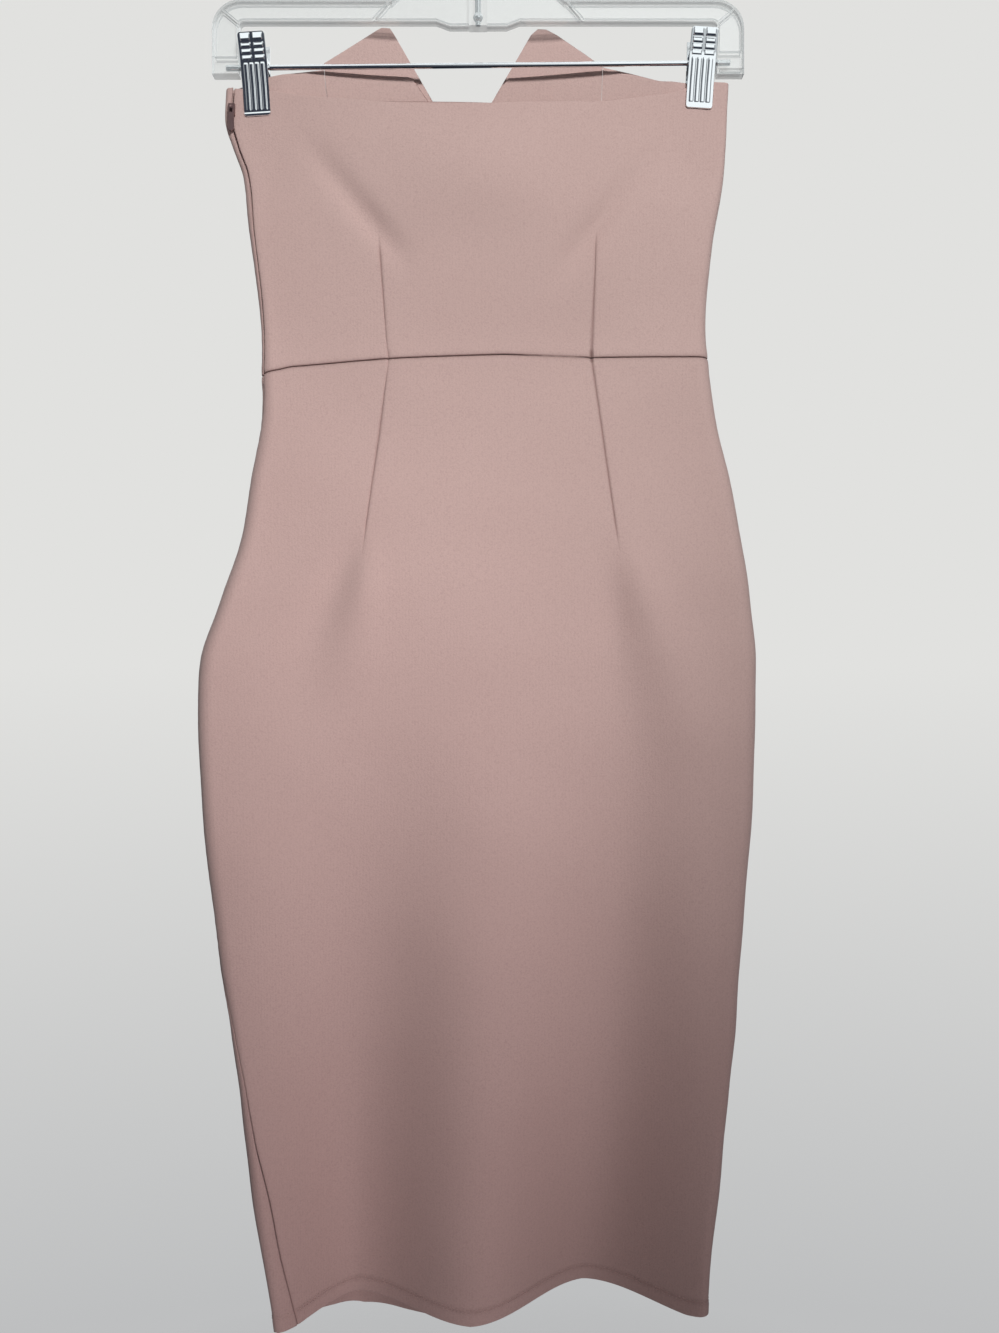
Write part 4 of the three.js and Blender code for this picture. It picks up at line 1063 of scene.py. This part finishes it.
def pressed_relief(x, z, foot):
    """How far the pressed plate's face stands out: sloped pads, ribs with rounded ends, and a rim."""
    total = np.zeros_like(x)
    for high, low in PAD_ROWS:
        slope = np.clip(high - z, 0, high - low) * smooth(z, low - 0.45, low)
        across = smooth(PAD_HALF - np.abs(np.abs(x) - PAD_PLACE), 0, 0.5)
        total = total + PAD_SLOPE * slope * across
    for turn in range(4):
        across = smooth(RIB_HALF - np.abs(x - (turn - 1.5) * RIB_PITCH), 0, 0.6)
        along = smooth(RIB_TOP - z, 0, 2.2) * smooth(z - foot - RIB_FOOT, 0, 0.7)
        total = total + RIB_HEIGHT * across * along
    return total + RIM_HEIGHT * (1 - smooth(z, foot + 1.6, foot + 2.6))


def press_plate(side):
    place_x, lean, jaw = CLIPS[side]
    rows = np.linspace(LEVER_END, -jaw, round((LEVER_END + jaw) / PLATE_STEP) + 1)[:, None]
    near_end = np.clip(CORNER - np.minimum(LEVER_END - rows, rows + jaw), 0, CORNER)
    half = CLIP_WIDTH / 2 - (CORNER - np.sqrt(CORNER**2 - near_end**2))
    x = half * np.linspace(-1, 1, round(CLIP_WIDTH / PLATE_STEP) + 1)[None, :]
    z = rows + 0 * x
    bends = [np.interp(z + shift, PLATE_HEIGHTS, PLATE_OUTS) for shift in (-1.5, -0.5, 0.5, 1.5)]
    out = sum(bends) / len(bends)
    away = np.minimum(half - np.abs(x), np.minimum(LEVER_END - z, z + jaw))
    face = out + PLATE_THICK + pressed_relief(x, z, -jaw) - rounded(away, 0.4)
    grids = [np.stack([x, -face, z], -1), np.stack([x, -out, z], -1)]
    points = [grid.reshape(-1, 3) for grid in grids]
    faces = wall_faces(x.shape)
    turned = np.arange(EAR_TURNS) * 2 * np.pi / EAR_TURNS
    cos, sin = np.cos(turned), np.sin(turned)
    reach_y = np.where(cos > 0, EAR_FAR, EAR_NEAR) / np.where(np.abs(cos) < 1e-6, 1e-6, cos)
    reach_z = EAR_HALF / np.maximum(np.abs(sin), 1e-6)
    reach = np.minimum(np.abs(reach_y), reach_z)
    for hand in (-1, 1):
        first = sum(len(p) for p in points)
        for radius in (EAR_HOLE, reach):
            for ear_x in (CLIP_WIDTH / 2 - PLATE_THICK, CLIP_WIDTH / 2 - 0.05):
                points.append(np.stack([0 * turned + hand * ear_x, radius * cos, radius * sin], -1))
        inner, inner_out, outer, outer_out = (first + k * EAR_TURNS for k in range(4))
        for turn in range(EAR_TURNS):
            beside = (turn + 1) % EAR_TURNS
            ring = [
                (inner_out + turn, outer_out + turn, outer_out + beside, inner_out + beside),
                (inner + turn, inner + beside, outer + beside, outer + turn),
                (outer + turn, outer + beside, outer_out + beside, outer_out + turn),
                (inner + turn, inner_out + turn, inner_out + beside, inner + beside),
            ]
            faces.extend(quad if hand > 0 else quad[::-1] for quad in ring)
    x, y, z = np.concatenate(points).T
    lean_cos, lean_sin = math.cos(math.radians(lean)), math.sin(math.radians(lean))
    leaned = np.stack([x * lean_cos + z * lean_sin, y, z * lean_cos - x * lean_sin], -1)
    leaned = (leaned + (place_x, 0, BAR_Z[side])) * MM
    plate = add_mesh(f"clip_{side}_pressed_plate", leaned, faces, smooth_under=40)
    plate.data.materials.append(chrome)
    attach(plate, "root")
    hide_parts(f"clip_{side}_near_plate")


for side in CLIPS:
    press_plate(side)


# Hanger: one clear moulding, a thin web with a lip round its edge, that holds the bar's ends in two
# sockets and the hook's foot in a boss. It is hard, glossy plastic that shows the wall behind it.
def mould_clear():
    material, plastic = new_material("clear_moulding")
    spot = plastic.node("ShaderNodeTexCoord", output=3)
    flow = plastic.node("ShaderNodeTexNoise", inputs={"Vector": spot, "Scale": 26.0, "Detail": 2.0})
    # Painted reflection: toward its grazing rims the moulding turns opaque white, which the lamps light, in
    # place of the bright reflection along its edges.
    grazing = plastic.node("ShaderNodeLayerWeight", inputs={"Blend": 0.35}, output="Facing")
    surface = plastic.node(
        "ShaderNodeBsdfPrincipled",
        inputs={
            "Base Color": linear(238, 242, 242),
            "Roughness": flow * 0.06 + 0.03,
            "Alpha": grazing * 0.75 + 0.14,
            "Specular IOR Level": 0.8,
            "Coat Weight": 0.6,
        },
    )
    plastic.node("ShaderNodeOutputMaterial", inputs={0: surface})
    return material


finish_node("hanger_frame", mould_clear(), 0.0004)

# Zip: a nylon coil sewn to woven tapes inside the side seam, whose edges nearly meet over it. Its foot
# is closed by a small metal stop.
COIL_TOP, COIL_FOOT = 157, -16
COIL_SINK = 1.75
COIL_WIDE, COIL_DEEP = 1.0, 0.62
COIL_WIRE = 0.26
COIL_PITCH = 1.25
COIL_TURNS = 10
WIRE_SIDES = 5
TAPE_HALF = 5.5
TAPE_THICK = 0.35
TAPE_SINK = 2.5
TAPE_STEP = 4.0
TAPE_COLUMNS = 7
STOP_UP, STOP_WIDE, STOP_HIGH, STOP_THICK = -19.5, 3.4, 3.0, 1.5
STOP_LIFT = 0.1


def spin_coil():
    material, tape = new_material("zip_tape")
    spot = tape.node("ShaderNodeTexCoord", output=3)
    ribs = tape.node(
        "ShaderNodeTexWave",
        {"wave_type": "BANDS", "bands_direction": "Z"},
        {"Vector": spot, "Scale": 420.0, "Distortion": 0.2},
    )
    # Painted shade: the tape is coloured darker in the grooves between its ribs, where the bump sinks.
    colour = ribs.mixed(linear(104, 78, 78), linear(140, 112, 110))
    raised = tape.node("ShaderNodeBump", inputs={"Strength": 0.4, "Distance": 0.0002, "Height": ribs})
    surface = tape.node(
        "ShaderNodeBsdfPrincipled", inputs={"Base Color": colour, "Roughness": 0.6, "Normal": raised}
    )
    tape.node("ShaderNodeOutputMaterial", inputs={0: surface})
    return material


def seam_frame(up):
    """On the zipped side seam: the point, the outward normal, and the way down along the seam."""
    point = cloth_point(left_seam(up), up)
    outward = cloth_normal(left_seam(up), up)
    down = cloth_point(left_seam(up - 0.5), up - 0.5) - point
    down = down / np.linalg.norm(down, axis=-1, keepdims=True)
    return point, outward, down


def tube(line, radius, sides):
    """A round wire along a line of points, closed at both ends."""
    ahead = np.gradient(line, axis=0)
    ahead = ahead / np.linalg.norm(ahead, axis=-1, keepdims=True)
    side = np.cross(ahead, (0.31, 0.17, 0.93))
    side = side / np.linalg.norm(side, axis=-1, keepdims=True)
    over = np.cross(ahead, side)
    turned = np.arange(sides) * 2 * np.pi / sides
    rings = line[:, None] + radius * (
        side[:, None] * np.cos(turned)[:, None] + over[:, None] * np.sin(turned)[:, None]
    )
    at = np.arange(len(line) * sides).reshape(len(line), sides)
    beside = np.roll(at, -1, axis=1)
    faces = np.stack([at[:-1], beside[:-1], beside[1:], at[1:]], -1).reshape(-1, 4).tolist()
    return rings.reshape(-1, 3), [*faces, at[0, ::-1].tolist(), at[-1].tolist()]


def sew_zip():
    tape_look = spin_coil()
    count = round((COIL_TOP - COIL_FOOT) / COIL_PITCH * COIL_TURNS)
    up = np.linspace(COIL_TOP, COIL_FOOT, count)
    point, outward, down = seam_frame(up)
    across = np.cross(down, outward)
    turned = np.arange(count) * 2 * np.pi / COIL_TURNS
    line = point - outward * COIL_SINK + across * (COIL_WIDE * np.cos(turned))[:, None]
    line = line + outward * (COIL_DEEP * np.sin(turned))[:, None]
    coil_points, coil_faces = tube(line, COIL_WIRE, WIRE_SIDES)

    up = np.linspace(COIL_TOP + 2, COIL_FOOT - 6, round((COIL_TOP - COIL_FOOT + 8) / TAPE_STEP) + 1)
    point, outward, down = seam_frame(up)
    columns = []
    for sink in (TAPE_SINK, TAPE_SINK + TAPE_THICK):
        for reach in np.linspace(-TAPE_HALF, TAPE_HALF, TAPE_COLUMNS):
            place = place_along(left_seam(up), up, reach)
            columns.append(cloth_point(place, up) - cloth_normal(place, up) * sink)
    tape_points = np.stack(columns, 1)
    around = 2 * TAPE_COLUMNS
    at = np.arange(tape_points.shape[0] * around).reshape(-1, around) + len(coil_points)
    order = [*range(TAPE_COLUMNS), *range(around - 1, TAPE_COLUMNS - 1, -1)]
    ring = at[:, order]
    beside = np.roll(ring, -1, axis=1)
    tape_faces = np.stack([ring[:-1], ring[1:], beside[1:], beside[:-1]], -1).reshape(-1, 4).tolist()
    tape_faces += [ring[0].tolist(), ring[-1, ::-1].tolist()]
    points = np.concatenate([coil_points, tape_points.reshape(-1, 3)])
    coil = add_mesh("zip_coil_and_tape", points * MM, coil_faces + tape_faces, smooth_under=60)
    coil.data.materials.append(tape_look)
    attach(coil, "root")
    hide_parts("zip_coil")

    point, outward, down = (value[0] for value in seam_frame(np.array([float(STOP_UP)])))
    across = np.cross(down, outward)
    wide, high, thick = across * STOP_WIDE / 2, down * STOP_HIGH / 2, outward * STOP_THICK / 2
    middle = point + outward * STOP_LIFT
    corners = [
        middle + a * wide + b * high + c * thick
        for a in (-1, 1)
        for b in (-1, 1)
        for c in (-1, 1)
    ]
    quads = [(0, 1, 3, 2), (4, 6, 7, 5), (0, 4, 5, 1), (2, 3, 7, 6), (0, 2, 6, 4), (1, 5, 7, 3)]
    stop = add_mesh("zip_stop", np.array(corners) * MM, quads)
    stop.data.materials.append(zip_metal)
    soft = stop.modifiers.new("softened_edges", "BEVEL")
    soft.width = 0.0004
    soft.segments = 2
    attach(stop, "root")


sew_zip()
